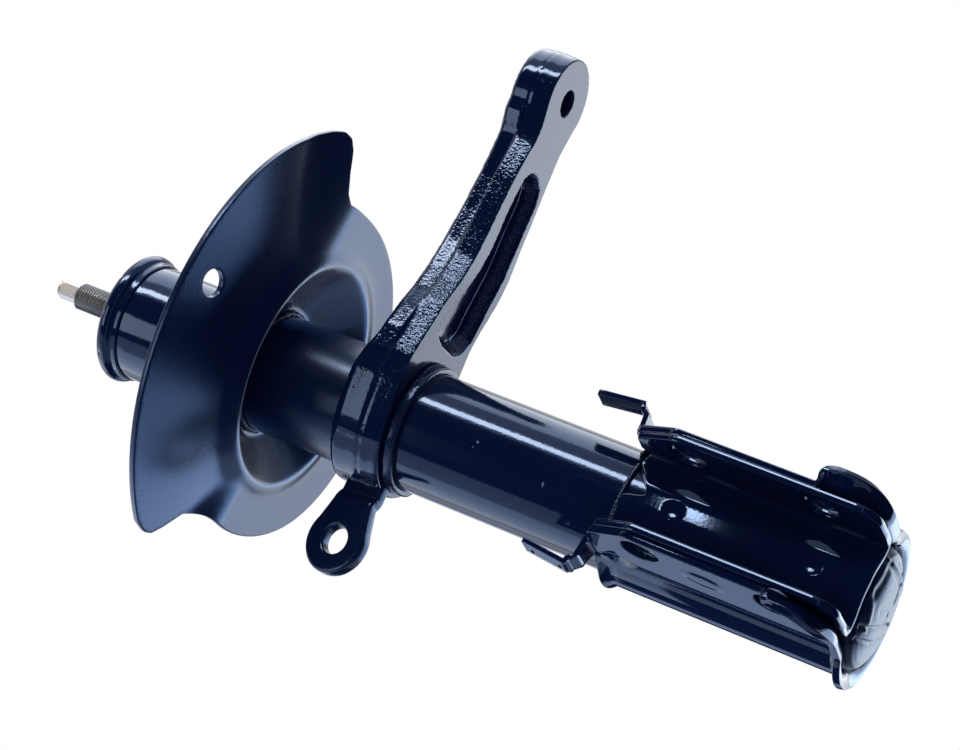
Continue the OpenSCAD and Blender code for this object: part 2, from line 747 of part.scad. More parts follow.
// Outer sheet: it wraps the tube's back and its ears run forward on both sides
module bracket_outer() {
    color(paint) {
        difference() {
            intersection() {
                translate([0, 0, bracket_bottom]) linear_extrude(bracket_top - bracket_bottom) outer_plan();
                across(4 * ear_out) ear_side(ear_front, bracket_top, bracket_bottom, ear_corner_r);
            }
            bolt_holes();
        }
        for (s = [-1, 1]) scale_side(s) {
            corner_lip();
            hose_hook(s < 0);
        }
        difference() {
            union() {
                ring(wrap_r, wrap_r + flare_w, bracket_bottom, sheet_t);
                on_tube() rotate_extrude() polygon([[wrap_r - seat_gap, bracket_top - 2 * flare_w],
                    [wrap_r + flare_w, bracket_top], [wrap_r - seat_gap, bracket_top]]);
            }
            translate([wrap_x, -2 * ear_out, bracket_bottom - cut])
                cube([4 * ear_out, 4 * ear_out, bracket_top - bracket_bottom + 2 * cut]);
        }
    }
}

module scale_side(s) {
    mirror([0, s < 0 ? 1 : 0, 0]) children();
}

module outer_plan() {
    difference() {
        union() {
            translate([-bolt_offset, 0]) circle(r = tube_clear + sheet_t);
            for (s = [-1, 1]) translate([wrap_x, s > 0 ? ear_mid : -ear_out])
                square([ear_front + cut - wrap_x, sheet_t]);
        }
        translate([-bolt_offset, 0]) circle(r = tube_clear);
        translate([wrap_x, -ear_mid]) square([4 * ear_out, 2 * ear_mid]);
    }
}

// Lip that stands and leans out from an ear round its lower corner, and stands out along its lower edge
module corner_lip() {
    translate([corner_x, ear_out, corner_z]) rotate([-90, 0, 0]) rotate_extrude(angle = 60)
        polygon([[ear_corner_r - sheet_t, -sheet_t / 2], [ear_corner_r, -sheet_t / 2], [ear_corner_r + lip_lean, lip_w],
            [ear_corner_r + lip_lean - sheet_t, lip_w]]);
    translate([wrap_x, ear_out - sheet_t / 2, bracket_bottom])
        cube([corner_x + ear_corner_r / 2 - wrap_x, lip_w + sheet_t / 2, sheet_t]);
}

// Strip bent out from the top of an ear to hold a hose
module hose_hook(slotted) {
    low = bracket_top - cut;
    high = bracket_top + hook_up;
    bend = bracket_top + hook_bend_h;
    out = ear_out + hook_out;
    difference() {
        translate([wrap_x + hook_w, 0, 0]) rotate([90, 0, -90]) linear_extrude(hook_w) polygon([
            [ear_out, low], [ear_out, bracket_top], [out, bend], [out - hook_lean, high],
            [out - hook_lean - hook_t, high], [out - hook_t, bend + hook_t / 2],
            [ear_out - hook_t, bracket_top + hook_t], [ear_out - hook_t, low]]);
        if (slotted) for (z = [bend + hook_t, high - 1.5 * hook_t])
            translate([wrap_x + hook_w / 2 - hook_slot_w / 2, ear_out, z - hook_slot_h / 2])
                cube([hook_slot_w, hook_out + cut, hook_slot_h]);
    }
}

module inner_plan() {
    difference() {
        polygon([
            [inner_front + cut, ear_mid], [wrap_x + 1, ear_mid], [wrap_x + 1, -ear_mid], [inner_front + cut, -ear_mid],
            [inner_front + cut, -ear_in], [floor_x - floor_drop, -ear_in], [floor_x - floor_drop, -floor_w / 2],
            [floor_x, -floor_flat_w / 2], [floor_x, floor_flat_w / 2], [floor_x - floor_drop, floor_w / 2],
            [floor_x - floor_drop, ear_in], [inner_front + cut, ear_in]]);
        translate([-bolt_offset, 0]) circle(r = tube_clear);
    }
}

// Inner sheet: a channel between the outer ears, with its floor against the tube
module bracket_inner() {
    color(paint) difference() {
        intersection() {
            translate([0, 0, bracket_bottom]) linear_extrude(inner_top - bracket_bottom) inner_plan();
            across(4 * ear_out) ear_side(inner_front, inner_top, bracket_bottom, ear_corner_r);
        }
        bolt_holes();
    }
}

// Beads along the bracket's upper edges on the tube
module bracket_weld() {
    color(paint) {
        difference() {
            bead(tube_clear, bracket_top + seat_gap, 1, weld_w - 0.5);
            translate([wrap_x - 4, -2 * ear_out, bracket_top - cut]) cube([4 * ear_out, 4 * ear_out, weld_w + 2 * cut]);
        }
        intersection() {
            bead(tube_clear, inner_top + seat_gap, 1, weld_w - 0.5);
            translate([-bolt_offset, -floor_w / 2, inner_top - cut]) cube([4 * ear_out, floor_w, weld_w + 2 * cut]);
        }
    }
}

strut_tube();
tube_base_plate();
bump_cap();
rod_seal();
seal_retainer();
rod_guide();
guide_bush();
working_cylinder();
base_valve_body();
base_valve_rivet();
base_valve_discs();
base_check_plate();
base_check_spring();
piston_rod();
rebound_bumper();
rebound_bumper_ring();
piston();
piston_ring();
piston_check_plate();
piston_check_spring();
piston_stop_washer();
piston_discs();
piston_nut();
spring_seat();
seat_weld();
steering_arm();
arm_weld();
link_lug();
lug_weld();
bracket_outer();
bracket_inner();
bracket_weld();
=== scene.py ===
import math
import bmesh
import bpy
import numpy as np
from mathutils import Matrix, Vector
from mathutils.geometry import delaunay_2d_cdt


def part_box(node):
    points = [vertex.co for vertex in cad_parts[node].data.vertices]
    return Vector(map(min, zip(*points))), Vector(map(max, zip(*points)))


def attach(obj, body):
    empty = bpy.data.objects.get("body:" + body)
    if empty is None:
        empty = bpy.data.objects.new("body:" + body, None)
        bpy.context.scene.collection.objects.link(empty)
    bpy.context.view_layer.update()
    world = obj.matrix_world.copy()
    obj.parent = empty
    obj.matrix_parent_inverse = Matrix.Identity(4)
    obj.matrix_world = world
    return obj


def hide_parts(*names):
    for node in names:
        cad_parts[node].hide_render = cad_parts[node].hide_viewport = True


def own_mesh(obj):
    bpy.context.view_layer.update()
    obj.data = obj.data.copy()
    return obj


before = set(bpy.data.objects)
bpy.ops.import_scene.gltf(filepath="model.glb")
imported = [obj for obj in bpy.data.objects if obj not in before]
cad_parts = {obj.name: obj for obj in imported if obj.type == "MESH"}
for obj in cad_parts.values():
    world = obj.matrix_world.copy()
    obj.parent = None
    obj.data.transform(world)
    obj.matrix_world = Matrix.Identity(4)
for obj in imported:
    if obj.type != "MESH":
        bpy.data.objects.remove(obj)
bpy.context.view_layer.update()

MM = 0.001
AXIS_X = -40.0          # the tube's axis, in millimetres from the bolts
TUBE_R = 25.5
ARM_UNDER, ARM_TOP = 180.0, 198.0       # heights of the steering arm's faces
BOLT_ZS, BOLT_HOLE_R = (0, 56), 8.0


# -------- shapes in the plane

def smooth(x):
    """0 below 0, 1 above 1, and an even S between them."""
    u = np.clip(x, 0.0, 1.0)
    return u * u * (3 - 2 * u)


def around(r, a, x=0.0, y=0.0):
    """Point at that distance from (x, y), in a direction given in degrees."""
    return x + r * math.cos(math.radians(a)), y + r * math.sin(math.radians(a))


def arc(x, y, r, a0, a1, n):
    """Points on a circle round (x, y), from one direction to another in n steps."""
    return [around(r, a0 + (a1 - a0) * k / n, x, y) for k in range(n + 1)]


def lengths(line):
    """Distance along a line up to each of its points."""
    return np.r_[0, np.cumsum(np.linalg.norm(np.diff(line, axis=0), axis=1))]


def on_line(line, s):
    """x and y at that distance along a line."""
    d = lengths(line)
    return np.interp(s, d, line[:, 0]), np.interp(s, d, line[:, 1])


def rounded(points, closed=True, step=0.8):
    """Outline with rounded corners. Each point is (x, y) or (x, y, corner radius)."""
    pts = [np.array(p[:2], float) for p in points]
    radii = [p[2] if len(p) > 2 else 0.0 for p in points]
    n = len(pts)
    out = []
    for i in range(n):
        if not closed and i in (0, n - 1) or radii[i] <= 0:
            out.append(pts[i])
            continue
        a, b, c = pts[i - 1], pts[i], pts[(i + 1) % n]
        d1, d2 = (a - b) / np.linalg.norm(a - b), (c - b) / np.linalg.norm(c - b)
        half = math.acos(max(-1, min(1, float(d1 @ d2)))) / 2
        if half > math.pi / 2 - 0.01:
            out.append(b)
            continue
        reach = min(radii[i] / math.tan(half), 0.49 * np.linalg.norm(a - b), 0.49 * np.linalg.norm(c - b))
        r = reach * math.tan(half)
        middle = (d1 + d2) / np.linalg.norm(d1 + d2)
        centre = b + middle * r / math.sin(half)
        start, end = b + d1 * reach - centre, b + d2 * reach - centre
        turn = math.atan2(start[0] * end[1] - start[1] * end[0], float(start @ end))
        count = max(2, int(abs(turn) * r / step) + 1)
        for k in range(count + 1):
            t = turn * k / count
            out.append(centre + np.array([start[0] * math.cos(t) - start[1] * math.sin(t),
                                          start[0] * math.sin(t) + start[1] * math.cos(t)]))
    return np.array(out)


def resampled(loop, step, closed=True):
    """The same line with points at an even distance."""
    p = np.vstack([loop, loop[:1]]) if closed else loop
    keep = np.r_[True, np.linalg.norm(np.diff(p, axis=0), axis=1) > 1e-6]
    p = p[keep]
    whole = lengths(p)[-1]
    count = max(8, int(round(whole / step)))
    t = np.linspace(0, whole, count + 1)
    if closed:
        t = t[:-1]
    return np.stack(on_line(p, t), 1)


def circle(x, y, r, step=0.8):
    n = max(16, int(2 * math.pi * r / step))
    a = np.arange(n) * 2 * math.pi / n
    return np.stack([x + r * np.cos(a), y + r * np.sin(a)], 1)


def area(loop):
    x, y = loop[:, 0], loop[:, 1]
    return 0.5 * float(np.sum(x * np.roll(y, -1) - np.roll(x, -1) * y))


def inside(points, loop):
    """Which points lie in a closed loop."""
    x, y = points[:, 0], points[:, 1]
    hit = np.zeros(len(points), bool)
    x1, y1 = loop[:, 0], loop[:, 1]
    x2, y2 = np.roll(x1, -1), np.roll(y1, -1)
    for a, b, c, d in zip(x1, y1, x2, y2):
        if b == d:
            continue
        cross = ((b > y) != (d > y)) & (x < (c - a) * (y - b) / (d - b) + a)
        hit ^= cross
    return hit


def between(points, rims):
    """Which points lie in the first closed loop and in none of the others."""
    keep = inside(points, rims[0])
    for rim in rims[1:]:
        keep &= ~inside(points, rim)
    return keep


def nearest(points, others):
    """Distance from each point to the closest of the others."""
    best = np.full(len(points), 1e9)
    for k in range(0, len(points), 2000):
        part = points[k:k + 2000]
        best[k:k + 2000] = np.sqrt(((part[:, None] - others[None]) ** 2).sum(2).min(1))
    return best


def hexagons(loop, spacing):
    """Points of an even grid over a loop, each with six neighbours."""
    lo, hi = loop.min(0), loop.max(0)
    rows = []
    for j, y in enumerate(np.arange(lo[1], hi[1], spacing * 0.866)):
        xs = np.arange(lo[0] + (j % 2) * spacing / 2, hi[0], spacing)
        rows.append(np.stack([xs, np.full(len(xs), y)], 1))
    return np.vstack(rows)


# -------- meshes

def new_mesh(name, verts, faces, edges=(), unit=MM):
    """Mesh from points in millimetres, or in another unit."""
    mesh = bpy.data.meshes.new(name)
    points = (np.asarray(verts, float) * unit).tolist()
    mesh.from_pydata(points, list(edges), [tuple(map(int, f)) for f in faces])
    return mesh


def joined(parts):
    """Points and faces of several shapes as one shape."""
    verts, faces = [], []
    for part_verts, part_faces in parts:
        faces += [tuple(int(i) + len(verts) for i in face) for face in part_faces]
        verts += [tuple(p) for p in part_verts]
    return verts, faces


def in_scene(name, data):
    """New object for a mesh, a lamp or a camera."""
    obj = bpy.data.objects.new(name, data)
    bpy.context.scene.collection.objects.link(obj)
    return obj


def applied(obj, name):
    """Mesh that an object's modifiers make. The object goes."""
    made = bpy.data.meshes.new_from_object(obj.evaluated_get(bpy.context.evaluated_depsgraph_get()))
    bpy.data.objects.remove(obj)
    made.name = name
    return made


def finish_piece(name, mesh, material, stands_for=(), body="strut_body", slot="black_paint", sharp=None):
    """Object that rides on a body and stands for CAD pieces, with one material."""
    for p in mesh.polygons:
        p.use_smooth = True
    if sharp:
        mesh.set_sharp_from_angle(angle=math.radians(sharp))
    mesh.materials.clear()
    mesh.materials.append(material)
    obj = in_scene(name, mesh)
    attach(obj, body)
    if stands_for:
        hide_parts(*stands_for)
    return obj


def shape_piece(name, shape, *given, **more):
    """Finished piece from a shape's points, in millimetres, and faces."""
    mesh = new_mesh(name, *shape)
    mesh.validate()
    return finish_piece(name, mesh, *given, **more)


def normals_of(middle, uv):
    """Outward directions of a surface, from its own slopes."""
    e = 0.05
    du = middle(uv[:, 0] + e, uv[:, 1]) - middle(uv[:, 0] - e, uv[:, 1])
    dv = middle(uv[:, 0], uv[:, 1] + e) - middle(uv[:, 0], uv[:, 1] - e)
    n = np.cross(du, dv)
    return n / np.maximum(np.linalg.norm(n, axis=1), 1e-12)[:, None]


def even_sheet(thick):
    """Heights of a sheet's two faces over its middle surface, the same everywhere."""
    return lambda u, v: (np.full(len(u), thick / 2), np.full(len(u), -thick / 2))


def edge_profile(thick, radius, bulge=0.0):
    """Section of a sheet's edge from its upper to its lower face: (inset, share of the thickness)."""
    steps = 4
    turns = [math.pi / 2 * k / steps for k in range(steps + 1)]
    top = [(radius * (1 - math.sin(t)), 1 - radius / thick * (1 - math.cos(t))) for t in turns]
    ridge = [(-bulge * (1 - abs(2 * w - 1)), w) for w in np.linspace(0.86, 0.14, 9)] if bulge else []
    return top + ridge + [(i, 1 - w) for i, w in reversed(top)]


def plate(outline, holes, middle, heights, spacing, profile, extra=(), loop_step=None):
    """Sheet over an outline. middle(u, v) gives its middle surface, heights(u, v) its upper and lower distance
    from that surface, and profile the section of its edges. Returns points and faces."""
    step = loop_step or spacing * 0.7
    loops = [resampled(outline if area(outline) > 0 else outline[::-1], step)]
    for h in holes:
        loops.append(resampled(h if area(h) < 0 else h[::-1], min(step, 0.9)))
    inward = []
    for loop in loops:
        along = np.roll(loop, -1, 0) - np.roll(loop, 1, 0)
        along /= np.maximum(np.linalg.norm(along, axis=1), 1e-9)[:, None]
        inward.append(np.stack([-along[:, 1], along[:, 0]], 1))
    deep = profile[0][0]
    rims = [loop + n * deep for loop, n in zip(loops, inward)]
    edge = np.vstack(rims)

    # points between the rims, in a hexagonal grid
    cloud = hexagons(loops[0], spacing)
    if len(extra):
        own = np.vstack(list(extra))
        cloud = np.vstack([cloud[nearest(cloud, own) > spacing * 0.6], own])
    cloud = cloud[between(cloud, rims)]
    cloud = cloud[nearest(cloud, edge) > min(spacing * 0.5, 0.5)]
    flat = np.vstack([edge, cloud])
    lines, first = [], 0
    for rim in rims:
        n = len(rim)
        lines += [(first + k, first + (k + 1) % n) for k in range(n)]
        first += n
    got = delaunay_2d_cdt([Vector(p) for p in flat.tolist()], lines, [], 0, 1e-6)
    points, tris, source = np.array([list(v) for v in got[0]]), np.array(got[2]), got[3]
    tris = tris[between(points[tris].mean(1), rims)]
    where = {old: new for new, olds in enumerate(source) for old in olds}

    # the two faces, then the walls between them
    n = normals_of(middle, points)
    m = middle(points[:, 0], points[:, 1])
    up, low = heights(points[:, 0], points[:, 1])
    verts = [m + n * up[:, None], m + n * low[:, None]]
    count = len(points)
    faces = [tuple(t) for t in tris] + [(a + count, c + count, b + count) for a, b, c in tris]
    total, first = 2 * count, 0
    for loop, inw in zip(loops, inward):
        around_it = range(len(loop))
        rows = [[where[first + k] for k in around_it]]
        for inset, share in profile[1:-1]:
            uv = loop + inw * inset
            m, n = middle(uv[:, 0], uv[:, 1]), normals_of(middle, uv)
            up, low = heights(uv[:, 0], uv[:, 1])
            verts.append(m + n * (low + (up - low) * share)[:, None])
            rows.append(list(range(total, total + len(loop))))
            total += len(loop)
        rows.append([where[first + k] + count for k in around_it])
        for a, b in zip(rows, rows[1:]):
            faces += [(a[(k + 1) % len(loop)], a[k], b[k], b[(k + 1) % len(loop)]) for k in around_it]
        first += len(loop)
    return np.vstack(verts), faces


def lathe(profile, segments, shift=None):
    """Turned shape round the tube's axis. profile: (radius, height), clockwise seen with the axis on the left.
    shift(r, angle, z) gives an extra radius and height for each point."""
    p = np.array(profile, float)
    a = np.arange(segments) * 2 * math.pi / segments
    r, t = np.meshgrid(p[:, 0], a, indexing="ij")
    z = np.repeat(p[:, 1:2], segments, 1)
    if shift:
        dr, dz = shift(r, t, z)
        r, z = r + dr, z + dz
    verts = np.stack([AXIS_X + r * np.cos(t), r * np.sin(t), z], 2).reshape(-1, 3)
    faces = []
    for i in range(len(p)):
        row, after = i * segments, (i + 1) % len(p) * segments
        for j in range(segments):
            n = (j + 1) % segments
            faces.append((row + j, after + j, after + n, row + n))
    return verts, faces


def dense(points, steps):
    """Profile line with more points: each stretch gets its own number of steps."""
    out = []
    for a, b, n in zip(points, points[1:], steps):
        out += [(a[0] + (b[0] - a[0]) * k / n, a[1] + (b[1] - a[1]) * k / n) for k in range(n)]
    return out + [tuple(points[-1])]


def remeshed(name, parts, voxel, passes):
    """One skin over several closed shapes that overlap, in a smooth flow from one to the next."""
    mesh = new_mesh("shapes under one skin", *joined(parts))
    obj = in_scene(mesh.name, mesh)
    skin = obj.modifiers.new("skin", "REMESH")
    skin.mode, skin.voxel_size = "VOXEL", voxel * MM
    even = obj.modifiers.new("even", "SMOOTH")
    even.factor, even.iterations = 0.5, passes
    made = applied(obj, name)
    bpy.data.meshes.remove(mesh)
    return made


# -------- materials

def feed(tree, target, inputs):
    """Set a node's inputs by name or number. An output given for a value is linked to the input."""
    for key, value in inputs.items():
        if isinstance(value, bpy.types.NodeSocket):
            tree.links.new(value, target.inputs[key])
        else:
            target.inputs[key].default_value = value


def node(tree, kind, inputs=None, **settings):
    """New node with these settings and inputs."""
    made = tree.nodes.new(kind)
    for key, value in settings.items():
        setattr(made, key, value)
    feed(tree, made, inputs or {})
    return made


def reckon(tree, operation, *terms):
    """Output of a math node."""
    return node(tree, "ShaderNodeMath", dict(enumerate(terms)), operation=operation).outputs[0]


def mapped(tree, value, low, high, start=0.0, end=1.0, **settings):
    """Output that goes from start to end as the value goes from low to high."""
    inputs = {"Value": value, "From Min": low, "From Max": high, "To Min": start, "To Max": end}
    return node(tree, "ShaderNodeMapRange", inputs, **settings).outputs["Result"]


def blend(tree, share, first, second):
    """Output with a colour between two others."""
    return node(tree, "ShaderNodeMix", {0: share, 6: first, 7: second}, data_type="RGBA").outputs[2]


def opaque(colour):
    return (*colour, 1)


def new_group(name, kind, inputs, outputs):
    """Node group with these sockets: each has its first value, or a word for its kind.
    Returns the group, what it is given, and its output node."""
    g = bpy.data.node_groups.new(name, kind)
    for in_out, sockets in (("INPUT", inputs), ("OUTPUT", outputs)):
        for socket_name, value in sockets.items():
            word = value if isinstance(value, str) else type(value).__name__.capitalize()
            s = g.interface.new_socket(socket_name, in_out=in_out, socket_type="NodeSocket" + word)
            if word != value:
                s.default_value = value
    return g, node(g, "NodeGroupInput").outputs, node(g, "NodeGroupOutput")


def coat_group():
    """Unevenness of a sprayed or dipped coat: a slow change of shade, orange peel, and specks of dust."""
    g, given, out = new_group(
        "coat unevenness", "ShaderNodeTree",
        {"Vector": "Vector", "Peel size": 700.0, "Cloud size": 22.0, "Dust size": 420.0},
        {"Clouds": "Float", "Peel": "Float", "Dust": "Float"})
    place = given["Vector"]
    clouds = node(g, "ShaderNodeTexNoise", {"Vector": place, "Scale": given["Cloud size"], "Detail": 4})
    peel = node(g, "ShaderNodeTexNoise", {"Vector": place, "Scale": given["Peel size"], "Detail": 2})
    dust = node(g, "ShaderNodeTexVoronoi", {"Vector": place, "Scale": given["Dust size"]})
    specks = mapped(g, dust.outputs["Distance"], 0.16, 0.08)
    feed(g, out, {"Clouds": clouds.outputs["Fac"], "Peel": peel.outputs["Fac"], "Dust": specks})
    return g


COAT = coat_group()


def new_material(name):
    """Returns the material, its node tree and its shader."""
    m = bpy.data.materials.new(name)
    m.use_nodes = True
    return m, m.node_tree, m.node_tree.nodes["Principled BSDF"]


def painted(name, dark, light, roughness, spread=0.1, peel=0.05, specular=0.5, dust=0.0, grain=None,
            grain_size=900.0, smooth_from=None, sheen=(0.36, 0.56, 1.0)):
    """Paint over metal. grain gives the depth of a rough surface under the paint, in millimetres. With
    smooth_from, faces that look straight up or down, and all beyond that y in metres, stay smooth."""
    m, t, shader = new_material(name)
    place = node(t, "ShaderNodeTexCoord").outputs
    coat = node(t, "ShaderNodeGroup", {"Vector": place["Object"]}, node_tree=COAT).outputs
    colour = blend(t, coat["Clouds"], opaque(dark), opaque(light))
    if dust:
        colour = blend(t, coat["Dust"], colour, (dust, dust, dust * 1.05, 1))
    gloss = mapped(t, coat["Clouds"], 0, 1, roughness - spread / 2, roughness + spread / 2)
    bump = node(t, "ShaderNodeBump", {"Distance": peel * MM, "Height": coat["Peel"]})
    if grain:
        rough = node(t, "ShaderNodeTexNoise", {"Vector": place["Object"], "Scale": grain_size, "Detail": 1.5})
        height = rough.outputs["Fac"]
        if smooth_from is not None:
            height = rough_sides(t, place, height, smooth_from)
        bump = node(t, "ShaderNodeBump", {"Distance": grain * MM, "Height": height, "Normal": bump.outputs[0]})
    feed(t, shader, {"Base Color": colour, "Roughness": gloss, "Normal": bump.outputs[0],
                     "Specular IOR Level": specular, "Specular Tint": opaque(sheen)})
    return m


def thin_along_ring(m, middle, radius, width, colour, share):
    """Painted highlight: a lighter colour mixed into the paint along a sharp ring, standing in for the light on
    its crest: middle (x, y) and radius in metres.
    """
    t = m.node_tree
    shader = t.nodes["Principled BSDF"]
    place = node(t, "ShaderNodeTexCoord").outputs["Object"]
    off = node(t, "ShaderNodeVectorMath", {0: place, 1: (*middle, 0)}, operation="SUBTRACT").outputs[0]
    flat = node(t, "ShaderNodeVectorMath", {0: off, 1: (1, 1, 0)}, operation="MULTIPLY").outputs[0]
    far = node(t, "ShaderNodeVectorMath", {0: flat}, operation="LENGTH").outputs["Value"]
    from_ring = reckon(t, "ABSOLUTE", reckon(t, "SUBTRACT", far, radius))
    line = mapped(t, from_ring, width, 0, end=share, interpolation_type="SMOOTHSTEP")
    before = shader.inputs["Base Color"].links[0].from_socket
    feed(t, shader, {"Base Color": blend(t, line, before, opaque(colour))})


def rough_sides(t, place, height, smooth_from):
    """Height that is left only on upright faces nearer than smooth_from, and less of it low down."""
    facing = node(t, "ShaderNodeSeparateXYZ", {0: place["Normal"]}).outputs
    where = node(t, "ShaderNodeSeparateXYZ", {0: place["Object"]}).outputs
    upright = mapped(t, reckon(t, "ABSOLUTE", facing["Z"]), 0.93, 0.7)
    fade = 0.012
    past_tube = mapped(t, where["Y"], -fade, fade / 2)
    near = mapped(t, where["Y"], smooth_from, smooth_from - fade, end=past_tube)
    lower = mapped(t, where["Z"], 0.192, 0.187, start=0.45)
    share = reckon(t, "MULTIPLY", reckon(t, "MULTIPLY", upright, near), lower)
    return reckon(t, "MULTIPLY", height, share)


def metal(name, colour, roughness, stretch=(1, 1, 1), depth=0.01, fine=600.0, metallic=1.0):
    """Bare metal with fine marks; stretch draws the marks out along one direction."""
    m, t, shader = new_material(name)
    place = node(t, "ShaderNodeTexCoord")
    turn = node(t, "ShaderNodeMapping", {"Vector": place.outputs["Object"], "Scale": stretch})
    noise = node(t, "ShaderNodeTexNoise", {"Vector": turn.outputs["Vector"], "Scale": fine, "Detail": 4})
    marks = noise.outputs["Fac"]
    shade = blend(t, marks, opaque(c * 0.72 for c in colour), opaque(min(1, c * 1.15) for c in colour))
    gloss = mapped(t, marks, 0, 1, max(0.02, roughness - 0.08), roughness + 0.12)
    bump = node(t, "ShaderNodeBump", {"Distance": depth * MM, "Height": marks})
    feed(t, shader, {"Metallic": metallic, "Base Color": shade, "Roughness": gloss, "Normal": bump.outputs[0]})
    return m


NAVY = (0.0026, 0.0075, 0.036), (0.0042, 0.0120, 0.054)
paint = painted("black paint", *NAVY, 0.10, spread=0.05, peel=0.02, dust=0.02)
sheet_paint = painted("paint on pressed sheet", *NAVY, 0.05, spread=0.03, peel=0.005, dust=0.02)
forged_paint = painted("paint on forging", *NAVY, 0.09, spread=0.04, peel=0.03, dust=0.02, grain=0.30,
                       grain_size=880.0, smooth_from=0.128)
seat_paint = painted("paint on the spring seat", *NAVY, 0.24, spread=0.08, peel=0.03, dust=0.03, specular=0.6,
                     grain=0.025, grain_size=1500.0, sheen=(0.22, 0.46, 1.0))
end_paint = painted("paint on the closed end", *NAVY, 0.32, spread=0.08, peel=0.05, dust=0.02, specular=0.28)
neck_paint = painted("duller paint beside the collar", *NAVY, 0.26, spread=0.10, peel=0.03, dust=0.02)
lug_paint = painted("paint on the lug", *NAVY, 0.20, peel=0.03, dust=0.03)
weld_paint = painted("paint on weld", *NAVY, 0.22, peel=0.06, grain=0.15)
turned_steel = metal("turned steel", (0.30, 0.31, 0.33), 0.42, stretch=(1, 1, 14), depth=0.012)
plain_steel = metal("plain steel", (0.48, 0.48, 0.49), 0.38, depth=0.02)
ground_steel = metal("ground and plated steel", (0.36, 0.37, 0.39), 0.36, stretch=(1, 1, 20), depth=0.006)
sintered = metal("sintered iron", (0.26, 0.26, 0.27), 0.52, depth=0.05, fine=1400.0, metallic=0.9)
bronze = metal("bush bronze", (0.56, 0.40, 0.20), 0.34, stretch=(1, 1, 10), depth=0.01)
rubber = painted("seal rubber", (0.010, 0.010, 0.010), (0.020, 0.020, 0.020), 0.55, peel=0.04)
ring_plastic = painted("ring plastic", (0.055, 0.05, 0.045), (0.09, 0.08, 0.07), 0.42, peel=0.03)


# -------- spring seat

SEAT_Z, SEAT_T = 236.5, 3.0
WING_R, WING_A = 102.0, 75      # radius of the raised wing, and the angle below the x axis where it begins
CREST_R, DISH_H = 49.5, 15.0
CENTRE_Y = 3.3                  # the crest and the wing are round this y


def seat_circle(r, a):
    """Distance from the tube's axis to a circle round the seat's own centre."""
    return CENTRE_Y * np.sin(np.radians(a)) + np.sqrt(r * r - (CENTRE_Y * np.cos(np.radians(a))) ** 2)


def eased(x, ease):
    """x from 0 on, with a soft start."""
    x = np.maximum(x, 0.0)
    return x * x / (x + ease)


def seat_rise(x, y):
    """Height of the seat's underside over its crest, the ring that the spring's groove presses out."""
    r, a = np.hypot(x, y), np.degrees(np.arctan2(y, x))
    crest = seat_circle(CREST_R, a)
    # share of the wing's slope: full on the wing, none on the lobe, with a fold between them
    flat_w, ramp, low_share = 8, 16, 0.84
    reach = np.clip((r - crest - flat_w) / (WING_R - crest - flat_w), 0, 1)
    fold_end, fold = 64 + 13 * reach, 30 + reach
    share = smooth((fold_end - a) / fold) * smooth((a + WING_A + ramp) / ramp)
    share = share * (low_share + 0.16 * smooth((a + WING_A) / 60))
    out = r - crest
    wing = 0.55 * eased(out, 1.2) - 0.31 * eased(out - 8.0, 3.0)
    lobe = 0.30 * eased(out, 1.2) - 0.30 * eased(out - 4.0, 3.0)
    # the dish inside the crest, with a soft shoulder where it meets its flat middle
    deep = np.clip(-out / (crest - 29.3), 0, 2)
    dish = DISH_H * deep * deep / (deep + 0.06) * 1.06
    sharpness = 2.4
    dish = DISH_H - np.log1p(np.exp(np.clip((DISH_H - dish) * sharpness, -40, 40))) / sharpness
    marks = 0.06 * smooth((crest - 5 - r) / 4) * np.sin(np.radians(a) * 31 + 1.3 * np.sin(r * 0.4))
    marks = marks * smooth((r - 30) / 6)
    return np.where(out > 0, share * wing + (1 - share) * lobe, np.maximum(dish, 0) + marks)


def seat_middle(u, v):
    return np.stack([AXIS_X + u, v, SEAT_Z + SEAT_T / 2 + seat_rise(u, v)], -1)


# the seat's edge: distance from the tube's axis, and direction in degrees
edge = [(seat_circle(WING_R, a), a) for a in range(-66, 49, 3)]
edge += [(105.5, 51.3), (106.7, 56), (107.0, 59.3), (104.6, 61.6), (99.8, 62.2), (90.5, 61.6), (82, 61.8),
         (78.0, 63.8), (76.1, 70), (74.8, 80), (74.6, 95), (75.0, 110), (75.6, 125), (76.0, 140), (76.4, 160),
         (76.3, 178), (75.9, 192), (74.9, 203), (73.9, 212), (72.4, 221), (71.0, 230), (69.8, 240), (69.2, 251),
         (69.4, 261), (69.6, 270), (69.3, 277), (70.0, -79.5), (72.0, -77.8), (78, -75.8), (88, -74.0),
         (94.2, -72.6), (97.0, -70.4)]
edge = np.array(edge)
turn_on = np.unwrap(np.radians(edge[:, 1]))
near_side = np.where((edge[:, 0] < 80) & (np.arange(len(edge)) > 40))[0]
first, last = near_side[0], near_side[-1]
fine = np.linspace(turn_on[first], turn_on[last], 150)
soft = np.interp(fine, turn_on[near_side], edge[near_side, 0])
for _ in range(24):
    soft[1:-1] = (soft[:-2] + 2 * soft[1:-1] + soft[2:]) / 4
edge = np.concatenate([edge[:first], np.stack([soft, np.degrees(fine)], 1), edge[last + 1:]])
seat_edge_line = rounded([(*around(r, a), 3.0 if r > 80 else 0.0) for r, a in edge])
sweep = np.arange(0, 360, 1.6)
directions = np.stack([np.cos(np.radians(sweep)), np.sin(np.radians(sweep))], 1)
rim_rings = [(seat_circle(CREST_R, sweep) - d)[:, None] * directions
             for d in (3.6, 2.6, 1.8, 1.1, 0.5, 0.0, -0.5, -1.1, -1.8, -2.6, -3.6)]
bore, drain = circle(0, 0, 25.75), circle(86.0, 0, 5.75)
seat = plate(seat_edge_line, [bore, drain], seat_middle, even_sheet(SEAT_T), 1.7, edge_profile(SEAT_T, 0.55),
             extra=rim_rings)
